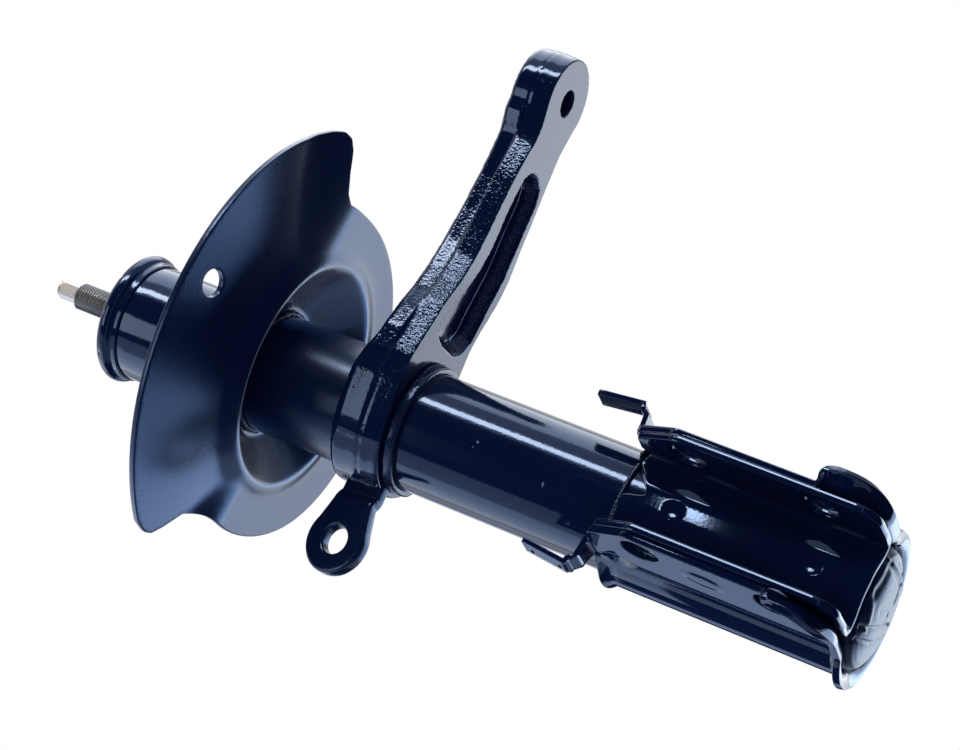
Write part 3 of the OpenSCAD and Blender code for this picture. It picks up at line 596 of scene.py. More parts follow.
# painted highlight: a lighter colour along the seat's crest ring, standing in for the light on the ridge
thin_along_ring(seat_paint, (AXIS_X * MM, CENTRE_Y * MM), radius=(CREST_R - 0.3) * MM, width=1.1 * MM,
                colour=(0.30, 0.38, 0.55), share=0.8)
shape_piece("spring_seat_plate", seat, seat_paint, ["spring_seat"])


# -------- strut tube

def bowl(d, r, depth):
    """Shallow round dent: depth at the middle, nothing beyond its radius."""
    return depth * (1 - smooth(d / r))


END_LINES = [
    # pressed slits and ridges of the closed end: points (x, y), width, height
    ([(-18, -9), (-14, -5), (-12, -1)], 0.8, -0.7),
    ([(-26, -12), (-16.5, 1.5), (-22, 16)], 1.4, 0.5),
    ([(-24, 15.4), (-21.8, 6.7), (-18.9, -1.8)], 1.5, -0.6),
    ([(-26, 14.9), (-42.2, 13.9), (-43.6, 7), (-29.9, -1.8)], 1.5, -0.6),
    ([(-32.7, 18), (-52, 19.3), (-58, 17.3)], 1.0, -0.8),
    ([(-22, 15.9), (-41.7, 16), (-56.9, 13.9)], 0.9, 0.6),
    ([(-22.6, -12.9), (-35.7, -7), (-50, -0.2)], 0.8, -0.8),
    ([(-25.6, -17.3), (-37.9, -13.1), (-43.9, -10), (-56.3, -2.7)], 0.8, -0.8)]


def line_distance(x, y, line):
    """Distance from (x, y) to a line of straight stretches."""
    best = np.full(x.shape, 1e9)
    for (ax, ay), (bx, by) in zip(line, line[1:]):
        dx, dy = bx - ax, by - ay
        t = np.clip(((x - ax) * dx + (y - ay) * dy) / (dx * dx + dy * dy), 0, 1)
        best = np.minimum(best, np.hypot(x - ax - t * dx, y - ay - t * dy))
    return best


def tube_shift(r, t, z):
    """Two small dents in the tube's side, and the pressed lines of its closed end."""
    a = np.degrees(t)
    a = np.where(a > 180, a - 360, a)
    dents = press = np.zeros_like(z)
    for angle, height, radius, depth in ((-9.2, 143, 2.9, 0.55), (-20.7, 110.5, 1.3, 0.3)):
        dents = dents + bowl(np.hypot((a - angle) * 0.445, z - height), radius, depth)
    x, y = AXIS_X + r * np.cos(t), r * np.sin(t)
    for line, width, height in END_LINES:
        press = press - 1.2 * height * np.exp(-(line_distance(x, y, line) / (1.15 * width)) ** 2)
    return np.where(r > 25.0, -dents, 0.0), np.where(z < -22.0, press, 0.0)


END_Z, NECK_LOW, NECK_HIGH = -22.5, 180, 240
closed_end = [(0.25, -31.0), (4, -31), (8, -30.9), (12, -30.6), (15, -30.1), (18, -29.3), (21, -28.2),
              (23.2, -26.9), (24.6, -25.0), (25.3, END_Z)]
wall_heights = [-20, -10, 0, 20, 40, 60, 80, 95, *np.arange(108, 114, 0.35), *np.arange(116, 138, 4.0),
                *np.arange(139, 147.4, 0.45), *np.arange(152, 320, 12.0), 320.2]
outside = dense(closed_end, [2] + [5] * 8) + [(TUBE_R, z) for z in wall_heights]
outside += [(25.2, 321.1), (24.5, 321.5), (22, 321.5), (19.2, 321.5), (19.0, 321.3), (19.0, 319.2), (19.2, 319.0),
            (23.0, 319.0), (23.0, 200), (23.0, 50), (23.0, -23), (22.0, -24.5), (12, -24.5), (0.25, -24.5)]
tube = lathe(outside, 288, tube_shift)
tube = shape_piece("strut_tube_shell", tube, paint, ["strut_tube", "tube_base_plate"])
tube.data.materials.append(end_paint)
tube.data.materials.append(neck_paint)
for p in tube.data.polygons:
    if p.center.z < END_Z * MM:
        p.material_index = 1
    elif NECK_LOW * MM < p.center.z < NECK_HIGH * MM:
        p.material_index = 2


# -------- bump cap

CAP_DENTS = (       # angle, height, radius, depth
    (338, 322.5, 1.6, 0.35), (352, 318.8, 1.2, 0.3), (15, 323.2, 1.5, 0.35), (300, 321.5, 1.8, 0.35),
    (60, 322.8, 1.6, 0.35), (120, 321, 1.5, 0.3), (200, 322.6, 1.8, 0.35), (250, 320.4, 1.4, 0.3))


def cap_shift(r, t, z):
    a = np.degrees(t) % 360
    dents = np.zeros_like(r)
    for angle, height, radius, depth in CAP_DENTS:
        dents = dents + bowl(np.hypot(((a - angle + 180) % 360 - 180) * 0.5, z - height), radius, depth)
    skirt = (r > 24.5) & (z > 314)
    return np.where(skirt, -dents, 0.0), np.where(skirt, -dents * 0.4, 0.0)


cap_line = dense([(25.62, 314.4), (26.1, 314.4), (26.4, 314.7), (26.5, 316.9)], [2, 1, 4])
cap_line += arc(25.08, 320.525, 3.52, -58, 90, 22)
cap_line += dense([(24.9, 324.05), (24.6, 324.05), (20, 324.05), (13, 324.05), (12.3, 323.95), (12.0, 323.6),
                   (12, 321.9), (12.3, 321.55), (25.4, 321.55), (25.62, 321.3), (25.62, 314.9)],
                  [1, 3, 3, 1, 1, 1, 1, 4, 1, 4])
shape_piece("bump_cap_pressing", lathe(cap_line, 240, cap_shift), paint, ["bump_cap"])


# -------- piston rod

rod_line = dense([(0.05, -2.05), (5.4, -2.05), (6.0, -1.5), (6.0, 31.6), (6.6, 32.45), (9.4, 32.45),
                  (10.0, 33.1)], [2, 1, 6, 1, 2, 1])
ring_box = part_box("rebound_bumper_ring")
ring_low, ring_high = ring_box[0][2] / MM - 0.05, ring_box[1][2] / MM + 0.05
rod_line += [(10, 60), (10, ring_low - 0.3), (9.8, ring_low), (8.8, ring_low)]
rod_line += [(8.8, ring_high), (9.8, ring_high), (10, ring_high + 0.3)]
rod_line += dense([(10, 140), (10, 200), (10, 260), (10, 326.9), (9.6, 327.7), (9.0, 328.0), (6.6, 328.0),
                   (6.2, 328.2), (6.0, 328.8), (6.0, 329.2), (5.35, 329.8), (5.35, 341.0), (5.35, 351.6),
                   (5.0, 352.3), (4.3, 352.6), (4.1, 353.0), (4.1, 361.1), (3.35, 362.6), (0.05, 362.6)],
                  [2, 2, 2, 1, 1, 2, 1, 1, 1, 1, 3, 4, 1, 1, 1, 14, 2, 2])


def rod_shift(r, t, z):
    """The two flats at the rod's end."""
    flat = 3.3 / np.maximum(np.abs(np.cos(t)), 1e-6)
    return np.where((z > 353.2) & (r > flat), flat - r, 0.0), np.zeros_like(z)


shape_piece("piston_rod_body", lathe(rod_line, 144, rod_shift), ground_steel, ["piston_rod"], "rod_assembly",
            "ground_steel", sharp=40)


def shape_group(name, inputs):
    """Geometry tree with these sockets beside its geometry and material."""
    inputs = {"Geometry": "Geometry", **inputs, "Material": "Material"}
    return new_group(name, "GeometryNodeTree", inputs, {"Geometry": "Geometry"})


def finish_group(g, given, out, shape):
    """Real geometry of that shape, in the given material, as what the tree gives out."""
    whole = node(g, "GeometryNodeRealizeInstances", {"Geometry": shape})
    coated = node(g, "GeometryNodeSetMaterial", {"Geometry": whole.outputs[0], "Material": given["Material"]})
    feed(g, out, {"Geometry": coated.outputs["Geometry"]})
    return g


def thread_tree():
    """Screw thread: a ridge wound round the axis."""
    g, given, out = shape_group("screw thread", {"Turns": 8.0, "Radius": 0.0055, "Length": 0.01,
                                                 "Ridge": 0.0006})
    spiral = node(g, "GeometryNodeCurveSpiral", {
        "Resolution": 72, "Rotations": given["Turns"], "Start Radius": given["Radius"],
        "End Radius": given["Radius"], "Height": given["Length"]})
    upright = node(g, "GeometryNodeSetCurveNormal", {"Curve": spiral.outputs["Curve"]}, mode="Z_UP")
    ridge = node(g, "GeometryNodeCurvePrimitiveCircle", {"Resolution": 4, "Radius": given["Ridge"]})
    sweep = node(g, "GeometryNodeCurveToMesh", {
        "Curve": upright.outputs["Curve"], "Profile Curve": ridge.outputs["Curve"], "Fill Caps": True})
    return finish_group(g, given, out, sweep.outputs["Mesh"])


def weld_tree():
    """Weld bead: a row of overlapping drops along a line, each a little different."""
    g, given, out = shape_group("weld bead", {"Drop size": 0.0018, "Pitch": 0.0013, "Flatness": 0.8,
                                              "Unevenness": 0.16, "Seed": 3})
    line = node(g, "GeometryNodeMeshToCurve", {"Mesh": given["Geometry"]})
    even = node(g, "GeometryNodeResampleCurve", {"Curve": line.outputs["Curve"], "Length": given["Pitch"]},
                mode="LENGTH")
    along = node(g, "GeometryNodeInputTangent")
    turn = node(g, "FunctionNodeAlignRotationToVector", {"Vector": along.outputs["Tangent"]}, axis="Z")
    drop = node(g, "GeometryNodeMeshUVSphere", {"Segments": 14, "Rings": 8, "Radius": given["Drop size"]})
    least = reckon(g, "SUBTRACT", 1.0, given["Unevenness"])
    most = reckon(g, "ADD", 1.0, given["Unevenness"])
    drawn = node(g, "FunctionNodeRandomValue", {2: least, 3: most, "Seed": given["Seed"]}, data_type="FLOAT")
    wide = drawn.outputs[1]
    high = reckon(g, "MULTIPLY", wide, given["Flatness"])
    scale = node(g, "ShaderNodeCombineXYZ", {"X": wide, "Y": wide, "Z": high})
    put = node(g, "GeometryNodeInstanceOnPoints", {
        "Points": even.outputs["Curve"], "Instance": drop.outputs["Mesh"], "Rotation": turn.outputs["Rotation"],
        "Scale": scale.outputs["Vector"]})
    return finish_group(g, given, out, put.outputs["Instances"])


def grown(name, tree, mesh, values):
    """Mesh that a node tree makes with these input values."""
    obj = in_scene(name, mesh)
    mod = obj.modifiers.new(tree.name, "NODES")
    mod.node_group = tree
    ids = {s.name: s.identifier for s in tree.interface.items_tree if s.in_out == "INPUT"}
    for key, value in values.items():
        mod[ids[key]] = value
    obj.update_tag()
    return applied(obj, name)


THREAD, WELD = thread_tree(), weld_tree()
thread = grown("stud_thread", THREAD, bpy.data.meshes.new("stud thread start"), {
    "Turns": 17.6, "Radius": 5.33 * MM, "Length": 22.0 * MM, "Ridge": 0.62 * MM, "Material": turned_steel})
thread.transform(Matrix.Translation((AXIS_X * MM, 0, 330.0 * MM)))
finish_piece("stud_thread", thread, turned_steel, (), "rod_assembly", "ground_steel", sharp=30)


# -------- steering arm

# The arm is drawn with u from the tube's axis to the eye.
ARM_DIRECTION = math.radians(82)
EYE_U = 152.3
POCKET_DEEP, ROOT_LIFT = 6.3, 4.9

COLLAR = [around(31.0, a) for a in range(125, 321, 5)]
EYE = [around(19.6, a, EYE_U) for a in range(-92, 122, 6)]
FRONT = [(24, -19.6), (30, -18.3), (41, -17.2), (50, -18.6), (59, -21.2), (67, -23), (77, -23.6), (91, -21.2),
         (100, -20.6), (111, -19), (123, -17.6), (134, -16.4)]
LOWER_BACK = [(135, 14), (129, 13.6), (120, 15.4), (111, 17), (97, 17.8), (84, 18.0), (72, 19), (60, 22.2),
              (48, 27.6), (38, 30.4), (22, 35.0), (10, 35.0), (0, 33.2), (-9, 30.8), (-15, 28.2)]
UPPER_BACK = [(138, 17.4), (129, 12.4), (120, 12.2), (109, 12.6), (93, 14.4), (77, 17), (64, 20.2), (52, 24.6),
              (43, 29.6), (32, 34.2), (20, 36.3), (10, 35.8), (0, 33.6), (-9, 31.0), (-15, 28.2)]
POCKET = rounded([(*p, 2.6) for p in [
    (119, -4), (118, 2.5), (113, 7.5), (96, 8), (79, 7), (68, 9.2), (58, 13.5), (48, 19.5), (41, 21.8),
    (36.5, 19.5), (34.5, 12), (34.5, -3), (38, -10), (45, -14), (57, -14.8), (75, -17), (94, -15.6), (109, -15),
    (116, -12)]])
POCKET_DENSE = resampled(POCKET, 0.6)


def pocket_at(u, v):
    """Depth of the forged pocket: steep rounded walls and a gently dished floor."""
    uv = np.stack([u, v], 1)
    near = nearest(uv, POCKET_DENSE)
    d = np.where(inside(uv, POCKET_DENSE), near, -near)
    return POCKET_DEEP * smooth((d + 0.9) / 4.8) + 0.45 * smooth(d / 9)


def arm_half(back_line, low, high, upper):
    """Upper or lower half of the forging, drawn in from the parting line like the die's walls."""
    half = (high - low) / 2

    def middle(u, v):
        x = AXIS_X + u * math.cos(ARM_DIRECTION) - v * math.sin(ARM_DIRECTION)
        y = u * math.sin(ARM_DIRECTION) + v * math.cos(ARM_DIRECTION)
        return np.stack([x, y, np.full(np.shape(u), (low + high) / 2)], -1)

    def heights(u, v):
        cut = pocket_at(u, -v)
        if upper:
            return half + ROOT_LIFT * smooth((33 - u) / 26) - cut, np.full(len(u), -half)
        return np.full(len(u), half), np.full(len(u), -half) + cut

    line = rounded([(x, -y, 3.0) for x, y in COLLAR + FRONT + EYE + back_line])
    draft = [(1.6, 1.0), (0.55, 0.93), (0.1, 0.8), (0.0, 0.5), (-0.35, 0.12), (0.1, 0.0)]
    if not upper:
        draft = [(inset, round(1 - share, 2)) for inset, share in draft[::-1]]
    holes = [circle(0, 0, 25.3), circle(EYE_U, 0, 5.9 if upper else 5.5)]
    return plate(line, holes, middle, heights, 1.5, draft, loop_step=1.2)


collar_line = dense([(25.3, ARM_UNDER), (30.2, ARM_UNDER), (31.0, ARM_UNDER + 1), (31.0, 201.8), (30.2, 203.0),
                     (25.3, 203.0)], [2, 1, 6, 1, 2])
halves = [arm_half(LOWER_BACK, ARM_UNDER, 189.4, False), arm_half(UPPER_BACK, 188.6, ARM_TOP, True)]
arm_mesh = remeshed("steering_arm_forging", halves + [lathe(collar_line, 160)], 0.62, 7)
co = np.zeros(len(arm_mesh.vertices) * 3)
arm_mesh.vertices.foreach_get("co", co)
co = co.reshape(-1, 3) / MM
for face_z, reach in ((ARM_UNDER, 0.45), (ARM_TOP, 0.35)):
    co[:, 2] = np.where(np.abs(co[:, 2] - face_z) < reach, face_z, co[:, 2])
arm_mesh.vertices.foreach_set("co", (co * MM).ravel())
finish_piece("steering_arm_forging", arm_mesh, forged_paint, ["steering_arm"], slot="painted_forging")


# -------- link lug

LUG_T, EYE_R = 6.0, 14.5
lug_frame = (Matrix.Translation((AXIS_X * MM, 0, 0)) @ Matrix.Translation((0, -56.3 * MM, 189.3 * MM))
             @ Matrix.Rotation(math.radians(-7.5), 4, "Z") @ Matrix.Rotation(math.radians(-15), 4, "Y"))


def lug_middle(u, v):
    """The lug's plate in its own frame: u towards the tube, v upwards, its front face on x = 0."""
    lean = 2.2 * smooth((u - 17) / 4)
    return np.stack([-LUG_T / 2 - lean, u, v], -1)


flank = [(32, 9.6, 0), (18, 9.6, 7), (12.2, 11.2, 3), (6.5, 12.9, 3)]
eye = [(*around(EYE_R, a), 1.0) for a in range(66, 295, 8)]
lug_line = rounded(flank + eye + [(x, -y, r) for x, y, r in flank[::-1]])
lug = plate(lug_line, [circle(0, 0, 6.1)], lug_middle, even_sheet(LUG_T), 1.0, edge_profile(LUG_T, 1.3))
lug_mesh = new_mesh("link_lug_eye", *lug)
lug_mesh.transform(lug_frame)
finish_piece("link_lug_eye", lug_mesh, lug_paint, ["link_lug"])


# -------- knuckle bracket

WRAP_R, EAR_Y, BEND = 27.1, 22.65, 8.0
bend_x = math.sqrt((WRAP_R + BEND) ** 2 - (EAR_Y + BEND) ** 2)
bend_a = math.degrees(math.atan2(EAR_Y + BEND, bend_x))
half_path = [around(WRAP_R, a) for a in np.linspace(180, bend_a, 90)]
half_path += [around(BEND, a, bend_x, EAR_Y + BEND) for a in np.linspace(180 + bend_a, 270, 14)[1:]]
half_path += [(x, EAR_Y) for x in np.linspace(bend_x + 0.5, 80, 120)]
half_path = np.array(half_path) + (AXIS_X, 0)
# distance along the sheet of an ear's x = 0
EAR_U = float(np.interp(0.0, half_path[100:, 0], lengths(half_path)[100:]))

CORNER_X, CORNER_Z, FOLD_R = -9.6, -5.0, 15.5       # the fold round the ears' lower corner
WRAP_TOP = 73.5
HOOK_MIN, HOOK_MAX, HOOK_Z = -25.6, -10.6, 78.6     # each ear's hook: its sides, and its first bend


def wrap_point(u):
    """Position and outward direction along the outer sheet; u runs from its back, to +Y for u above 0."""
    s, sign, step = np.abs(u), np.where(u < 0, -1.0, 1.0), 0.3
    x, y = on_line(half_path, s)
    x1, y1 = on_line(half_path, np.maximum(s - step, 0))
    x2, y2 = on_line(half_path, s + step)
    tx, ty = np.where(s < step, 0.0, x2 - x1), np.where(s < step, 1.0, y2 - y1)
    length = np.hypot(tx, ty)
    return x, y * sign, -ty / length, tx / length * sign


def bent(s, radius, angle):
    """How far a sheet goes on and how far it stands out after a bend of that radius and angle."""
    t = np.clip(s / radius, 0, angle)
    rest = np.maximum(0, s - radius * angle)
    go = radius * np.sin(t) + rest * np.cos(angle)
    out = radius * (1 - np.cos(t)) + rest * np.sin(angle)
    return np.where(s > 0, go, s), np.where(s > 0, out, 0.0)


def lower_lip(ex, z):
    """Lip round the lower corner and flare along the lower edge: shift in x and z, and distance out."""
    dx, dz = ex - CORNER_X, z - CORNER_Z
    corner, under = (dx > 0) & (dz < 0), dx <= 0
    rho = np.hypot(dx, dz)
    turn = np.degrees(np.arctan2(-dz, np.maximum(dx, 1e-6)))
    dist = np.where(corner, rho - FOLD_R, np.where(under, -dz - FOLD_R, dx - FOLD_R))
    way_x = np.where(corner, dx / np.maximum(rho, 1e-6), np.where(under, 0.0, 1.0))
    way_z = np.where(corner, dz / np.maximum(rho, 1e-6), np.where(under, -1.0, 0.0))
    side_angle, under_angle = math.radians(32), math.radians(80)
    angle = np.where(corner, np.radians(32 + 48 * smooth(turn / 90)), np.where(under, under_angle, side_angle))
    angle = angle * np.where(dz > 0, smooth((3.6 - z) / 5.5) * smooth(dx / 5), 1.0)
    go, out = bent(dist, 4.0, angle)
    shift = np.where(dist > 0, go - dist, 0.0)
    return shift * way_x, shift * way_z, out


def hook_bends(s):
    """How far a hook goes on and stands out: it is bent out square, then up again."""
    r, square, over = 3.2, math.radians(84), math.radians(6)
    turn_at = 11.6
    go1, out1 = bent(s, r, square)
    s2 = s - turn_at
    h = square - np.clip(s2 / r, 0, square + over)
    rest = np.maximum(0, s2 - r * (square + over))
    base_go, base_out = bent(np.full_like(s, turn_at), r, square)
    go2 = base_go + r * (np.cos(h) - np.cos(square)) + rest * math.cos(over)
    out2 = base_out + r * (np.sin(square) - np.sin(h)) - rest * math.sin(over)
    return np.where(s2 > 0, go2, go1), np.where(s2 > 0, out2, out1)


def outer_middle(u, v):
    ex = np.abs(u) - EAR_U                       # x on the ear, measured from the bolts
    shift_x, shift_z, stand = lower_lip(ex, v)
    uu = np.sign(u + 1e-12) * (np.abs(u) + shift_x)
    vv = v + shift_z
    # the flare of the wrap's upper edge, which fades towards the ears
    fade = 1 - smooth((np.abs(u) - 44) / 12)
    past = v - WRAP_TOP
    go, out = bent(past, 6.0, math.radians(42))
    vv = vv + np.where(past > 0, (go - past) * fade, 0)
    stand = stand + out * fade
    # the hooks
    on_hook = smooth(ex - HOOK_MIN + 2.5) * (v > HOOK_Z - 0.4) * (1 - smooth(ex - HOOK_MAX - 1.5))
    past = v - HOOK_Z
    go, out = hook_bends(past)
    vv = vv + on_hook * np.where(past > 0, go - past, 0)
    stand = stand + on_hook * np.where(past > 0, out, 0)
    # pressed gusset where the near ear meets the wrap, and a faint oval emboss on that ear
    gx, gz = np.where(u < 0, ex, 99) + 21.5, v - 70
    stand = stand - 1.5 * smooth(1 - (np.abs(gx) / 5.5 + np.abs(gz) / 9))
    stand = stand + 0.35 * np.where(u < 0, smooth(1.6 * (1 - np.hypot((ex + 4.9) / 7, (v - 30) / 11))), 0)
    x, y, nx, ny = wrap_point(uu)
    return np.stack([x + nx * stand, y + ny * stand, vv], -1)


def outer_heights(_, v):
    """The sheet keeps its thickness; the hooks are drawn thinner."""
    t = 1.55 - 0.5 * smooth((v - 81) / 4)
    return t, -t


# an ear's outline, from the lower edge up to the wrap's upper edge: (x, z, corner radius)
lip_end = [around(FOLD_R + 8.0 + 5.6 * (1 - float(smooth(k / 90))), -k, CORNER_X, CORNER_Z)
           for k in range(0, 91, 6)]
ear = [(x, z, 1.5) for x, z in lip_end[::-1]]
ear += [(18.2, 0.6, 3.5), (13.0, 1.6, 2.0), (10.4, 2.6, 1.2), (10.4, 61.5, 8.0), (-1.6, 79.4, 2.0),
        (HOOK_MAX + 1.8, 79.8, 0.0), (HOOK_MAX + 0.2, 81.0, 1.6), (HOOK_MAX, 115.4, 2.2), (HOOK_MIN, 115.4, 2.2),
        (HOOK_MIN - 0.2, 81.0, 1.6), (HOOK_MIN - 1.8, 79.8, 0)]
right_side = [(EAR_U + x, z, r) for x, z, r in ear]
left_side = [(-u, z, r) for u, z, r in right_side[::-1]]
outer_line = rounded([(0, lip_end[-1][1], 0.0)] + right_side + [(0, 79.8, 0.0)] + left_side)
outer_holes = [circle(s * EAR_U, z, BOLT_HOLE_R) for s in (-1, 1) for z in BOLT_ZS]
slot_u = -(EAR_U + (HOOK_MIN + HOOK_MAX) / 2)
for slot_z in (98.2, 111.0):
    corners = [(slot_u + i, slot_z + j, 0.7) for i, j in ((-2, -0.75), (2, -0.75), (2, 0.75), (-2, 0.75))]
    outer_holes.append(rounded(corners, step=0.3))
outer = plate(outer_line, outer_holes, outer_middle, outer_heights, 1.5, edge_profile(3.1, 0.5))
shape_piece("bracket_outer_sheet", outer, sheet_paint, ["bracket_outer"])

FLOOR_X, LEG_Y = -12.9, 19.55
inner_half = rounded([(FLOOR_X, 0), (FLOOR_X, 5.5, 9.0), (FLOOR_X - 3.2, 13.5, 5.0), (FLOOR_X - 3.4, LEG_Y, 4.2),
                      (40, LEG_Y)], closed=False, step=0.4)
inner_half = resampled(inner_half, 0.4, closed=False)
on_leg = np.where(np.abs(inner_half[:, 1] - LEG_Y) < 1e-3)[0]
LEG_U = float(np.interp(0.0, inner_half[on_leg, 0], lengths(inner_half)[on_leg]))


def inner_middle(u, v):
    x, y = on_line(inner_half, np.abs(u))
    dents = sum(bowl(np.hypot(u + 0.8, v - z), 4.4, 0.8) for z in (55, -3.5))
    return np.stack([x - dents * (np.abs(u) < 12), y * np.where(u < 0, -1.0, 1.0), v], -1)


leg = [(LEG_U - 7.4, -26.4, 18.0), (LEG_U + 12.6, -24.4, 17.0), (LEG_U + 12.6, 60.0, 10.0),
       (LEG_U + 0.6, 77.6, 3.0)]
floor_end = LEG_U - 14
right_side = leg + [(floor_end + 4, 77.8, 2.5), (floor_end, 74.0, 2.0), (14.0, 76.6, 2.0), (9, 72.5, 3.0),
                    (1.0, 67.2, 1.5), (-1.4, 76.8, 1.5)]
left_side = [(-14.0, 77.2, 2.0), (-floor_end, 75.5, 2.0), (-floor_end - 4, 77.8, 2.5)]
left_side += [(-u, z, r) for u, z, r in leg[::-1]]
inner_line = rounded([(0, -26.4, 0)] + right_side + left_side)
inner_holes = [circle(s * LEG_U, z, BOLT_HOLE_R) for s in (-1, 1) for z in BOLT_ZS]
inner = plate(inner_line, inner_holes, inner_middle, even_sheet(3.0), 1.4, edge_profile(3.0, 0.3, 0.31))
shape_piece("bracket_inner_channel", inner, sheet_paint, ["bracket_inner"])


# -------- welds

def ring_line(r, z, a0=0.0, a1=360.0, wobble=0.15, seed=1):
    """Line round the tube that wanders a little out and up."""
    turn, knots = np.arange(a0, a1 + 0.1, 3.0), np.arange(a0, a1 + 30, 15)
    wander = np.interp(turn, knots, np.random.default_rng(seed).normal(0, wobble, len(knots)))
    return [(*around(r + d, a, AXIS_X), z + d) for a, d in zip(turn, wander)]


def bead(name, lines, stands_for, drop_size, pitch, seed, more=()):
    """Weld beads along lines in millimetres, with more shapes that belong to them."""
    parts = []
    for k, line in enumerate(lines):
        path = new_mesh("weld line", line, [], [(i, i + 1) for i in range(len(line) - 1)])
        drops = grown(name, WELD, path, {"Drop size": drop_size * MM, "Pitch": pitch * MM, "Seed": seed + k,
                                         "Material": weld_paint})
        parts.append(([v.co for v in drops.vertices], [f.vertices for f in drops.polygons]))
    parts += [(np.asarray(more_verts) * MM, more_faces) for more_verts, more_faces in more]
    finish_piece(name, new_mesh(name, *joined(parts), unit=1), weld_paint, [stands_for])


def lumpy(r, t, z):
    """Waves on the outer side of a turned weld."""
    waves = 0.10 * np.sin(9 * t + 1) + 0.06 * np.sin(23 * t + z)
    return np.where(r > 26.5, waves, 0.0), np.zeros_like(z)


seat_lines = [ring_line(26.0, 250.6, wobble=0.08, seed=2), ring_line(26.4, 255.6, seed=3)]
bead("seat_weld_bead", seat_lines, "seat_weld", 1.3, 0.9, 5)
low_ring = dense([(25.55, 174.9), (27.5, 174.9), (28.2, 175.4), (28.45, 176.6), (28.5, 178.8), (28.2, 179.4),
                  (27.2, 179.7), (25.55, 179.7)], [3, 2, 2, 3, 2, 2, 3])
arm_lines = [ring_line(25.9, 203.9, wobble=0.08, seed=4), ring_line(27.2, 178.6, -6, 88, wobble=0.35, seed=5)]
bead("arm_weld_bead", arm_lines, "arm_weld", 1.35, 1.0, 15, more=[lathe(low_ring, 220, lumpy)])
bracket_lines = [ring_line(26.2, 80.3, 48, 312, wobble=0.1, seed=6),
                 ring_line(25.9, 78.0, -30, 30, wobble=0.1, seed=7)]
bead("bracket_weld_bead", bracket_lines, "bracket_weld", 1.15, 0.8, 25)
lug_lines = [[tuple(c / MM for c in lug_frame @ Vector((side * MM, 27.0 * MM, z * MM)))
              for z in np.linspace(-7.5, 7.5, 9)] for side in (0.9, -7.2)]
bead("lug_weld_bead", lug_lines, "lug_weld", 2.1, 1.4, 35)


# -------- pieces that keep their own shape

INNER = (
    (plain_steel, "seal_retainer working_cylinder base_valve_discs base_check_plate rebound_bumper_ring "
                  "piston_check_plate piston_stop_washer piston_discs"),
    (sintered, "rod_guide base_valve_body piston"), (rubber, "rod_seal rebound_bumper"), (bronze, "guide_bush"),
    (ground_steel, "base_valve_rivet"), (ring_plastic, "piston_ring"), (turned_steel, "piston_nut"))
for material, names in INNER:
    for name in names.split():
        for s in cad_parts[name].material_slots:
            s.link = "OBJECT"
            s.material = material


def leaf_spring(node_name, body):
    """Star of three leaves over a check plate, in the CAD piece's own shape with its loose points merged."""
    loose = bmesh.new()
    loose.from_mesh(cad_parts[node_name].data)
    bmesh.ops.remove_doubles(loose, verts=loose.verts, dist=1e-7)
    mesh = bpy.data.meshes.new(node_name)
    loose.to_mesh(mesh)
    loose.free()
    spring = finish_piece(node_name + "_leaves", mesh, ground_steel, [node_name], body, "ground_steel", sharp=30)
    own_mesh(spring)


leaf_spring("base_check_spring", "strut_body")
leaf_spring("piston_check_spring", "rod_assembly")


# -------- camera, studio and light

scene = bpy.context.scene
scene.view_settings.view_transform = "Standard"
cam_data = bpy.data.cameras.new("camera")
cam_data.lens, cam_data.sensor_width = 100.0, 36.0
cam_data.clip_start, cam_data.clip_end = 0.05, 20.0
scene.camera = in_scene("camera", cam_data)
right, up = Vector((-0.23355, 0.45081, -0.86152)), Vector((0.41616, 0.84712, 0.33046))
back = Vector((0.87879, -0.28135, -0.38546))
turn = Matrix((right, up, back)).transposed().to_4x4()
scene.camera.matrix_world = Matrix.Translation((0.9304, -0.2790, -0.2595)) @ turn


def see_through(t, shader, share):
    """Make the shader's surface clear by that share."""
    clear = node(t, "ShaderNodeBsdfTransparent")
    mix = node(t, "ShaderNodeMixShader", {0: share, 1: shader.outputs[0], 2: clear.outputs[0]})
    feed(t, t.nodes["Material Output"], {"Surface": mix.outputs[0]})


def floor_material():
    """Pale floor that can be looked through from below."""
    m, t, shader = new_material("pale floor")
    feed(t, shader, {"Base Color": (0.93, 0.93, 0.93, 1), "Roughness": 0.7})
    see_through(t, shader, node(t, "ShaderNodeNewGeometry").outputs["Backfacing"])
    return m


def card_material(name, glow):
    """Flag that only reflections see, with that glow."""
    m, t, shader = new_material(name)
    feed(t, shader, {"Base Color": (0, 0, 0, 1), "Specular IOR Level": 0.0, "Emission Color": opaque(glow),
                     "Emission Strength": 1.0})
    rays = node(t, "ShaderNodeLightPath").outputs
    see_through(t, shader, reckon(t, "MAXIMUM", rays["Is Camera Ray"], rays["Is Transmission Ray"]))
    return m


def sheet_of(name, points, faces, material):
    """Surface of the studio, with its points in metres."""
    mesh = new_mesh(name, points, faces, unit=1)
    mesh.materials.append(material)
    obj = in_scene(name, mesh)
    return obj


def level_sheet(name, x0, y0, x1, y1, z, material):
    return sheet_of(name, [(x0, y0, z), (x1, y0, z), (x1, y1, z), (x0, y1, z)], [range(4)], material)


FLOOR_Z = -0.6
level_sheet("floor", -30, -30, 30, 30, FLOOR_Z, floor_material())

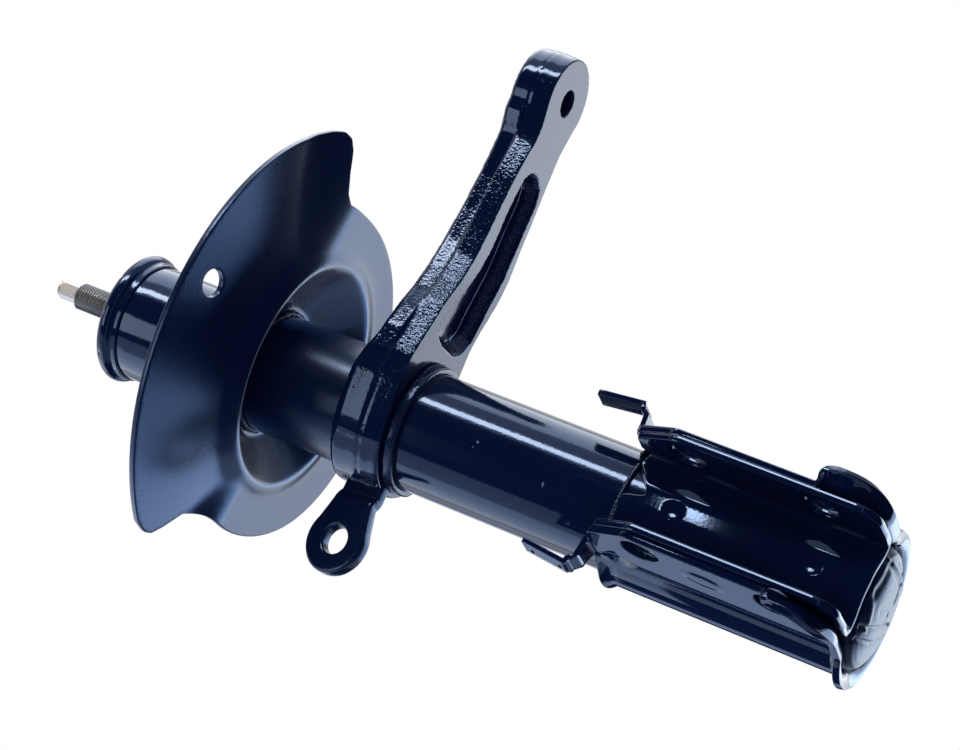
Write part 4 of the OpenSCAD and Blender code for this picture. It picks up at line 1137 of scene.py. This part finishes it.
world = bpy.data.worlds.new("studio")
scene.world = world
world.use_nodes = True
wt = world.node_tree
wt.nodes.clear()
seen = node(wt, "ShaderNodeBackground", {"Color": (1, 1, 1, 1)})
lit = node(wt, "ShaderNodeBackground", {"Color": (0.93, 0.96, 1.0, 1), "Strength": 0.6})
rays = node(wt, "ShaderNodeLightPath").outputs
direct = reckon(wt, "MAXIMUM", rays["Is Camera Ray"], rays["Is Glossy Ray"])
direct = reckon(wt, "MAXIMUM", direct, rays["Is Transmission Ray"])
mixer = node(wt, "ShaderNodeMixShader", {0: direct, 1: lit.outputs[0], 2: seen.outputs[0]})
node(wt, "ShaderNodeOutputWorld", {"Surface": mixer.outputs[0]})


def softbox(name, azimuth, elevation, distance, width, height, brightness, colour=(1, 1, 1), shine_only=False):
    """Softbox in that direction from the part's middle, facing it. A mirror shows it with that brightness."""
    data = bpy.data.lights.new(name, "AREA")
    data.shape, data.size, data.size_y = "RECTANGLE", width, height
    data.energy, data.color = brightness * math.pi * width * height, colour
    obj = in_scene(name, data)
    a, e = math.radians(azimuth), math.radians(elevation)
    way = Vector((math.cos(a) * math.cos(e), math.sin(a) * math.cos(e), math.sin(e)))
    side = Vector((-math.sin(a), math.cos(a), 0))
    facing = Matrix((side, way.cross(side), way)).transposed().to_4x4()
    obj.matrix_world = Matrix.Translation(Vector((-0.03, 0.02, 0.15)) + way * distance) @ facing
    obj.visible_camera = False
    obj.visible_diffuse = not shine_only


WARM = (1.0, 0.87, 0.72)
softbox("narrow strip", 40, 23, 1.3, 0.20, 1.2, 28.0, WARM, shine_only=True)
softbox("high lamp", -34, 40, 1.3, 0.6, 0.62, 4.6, WARM, shine_only=True)
softbox("small lamp", 15.6, 13.1, 1.284, 0.022, 0.035, 42.0, (1.0, 0.90, 0.78), shine_only=True)
softbox("side softbox", 97, 22, 1.3, 1.25, 1.1, 2.7, (0.86, 0.93, 1.0))
softbox("other side softbox", -116, 33, 1.3, 1.0, 0.95, 1.6, (0.72, 0.85, 1.0))
softbox("low back softbox", 162, -24, 1.2, 0.9, 0.75, 2.3, (0.90, 0.95, 1.0))
softbox("lower back softbox", 163, -42, 0.85, 0.85, 0.42, 3.0, (0.50, 0.72, 1.0), shine_only=True)

CARD = card_material("dark card", (0.012, 0.018, 0.05))
GREY_CARD = card_material("grey card", (0.42, 0.55, 0.82))


def upright_card(name, a0, a1, high, material=CARD):
    """Curved card that stands round the part, between two directions seen from above."""
    points, count = [], 24
    for x, y in arc(-0.02, 0.0, 1.5, a0, a1, count):
        points += [(x, y, FLOOR_Z + 0.01), (x, y, high)]
    obj = sheet_of(name, points, [(2 * k, 2 * k + 2, 2 * k + 3, 2 * k + 1) for k in range(count)], material)
    obj.visible_diffuse = obj.visible_shadow = False


upright_card("camera side card", -64, 31, 4.0)
upright_card("far side card", 158, 189, 0.56)
upright_card("grey side card", 189, 204, 1.2, GREY_CARD)
upright_card("other side card", 204, 244, 0.56)
level_sheet("low card", -0.42, -0.6, 0.9, 0.9, -0.5, CARD)
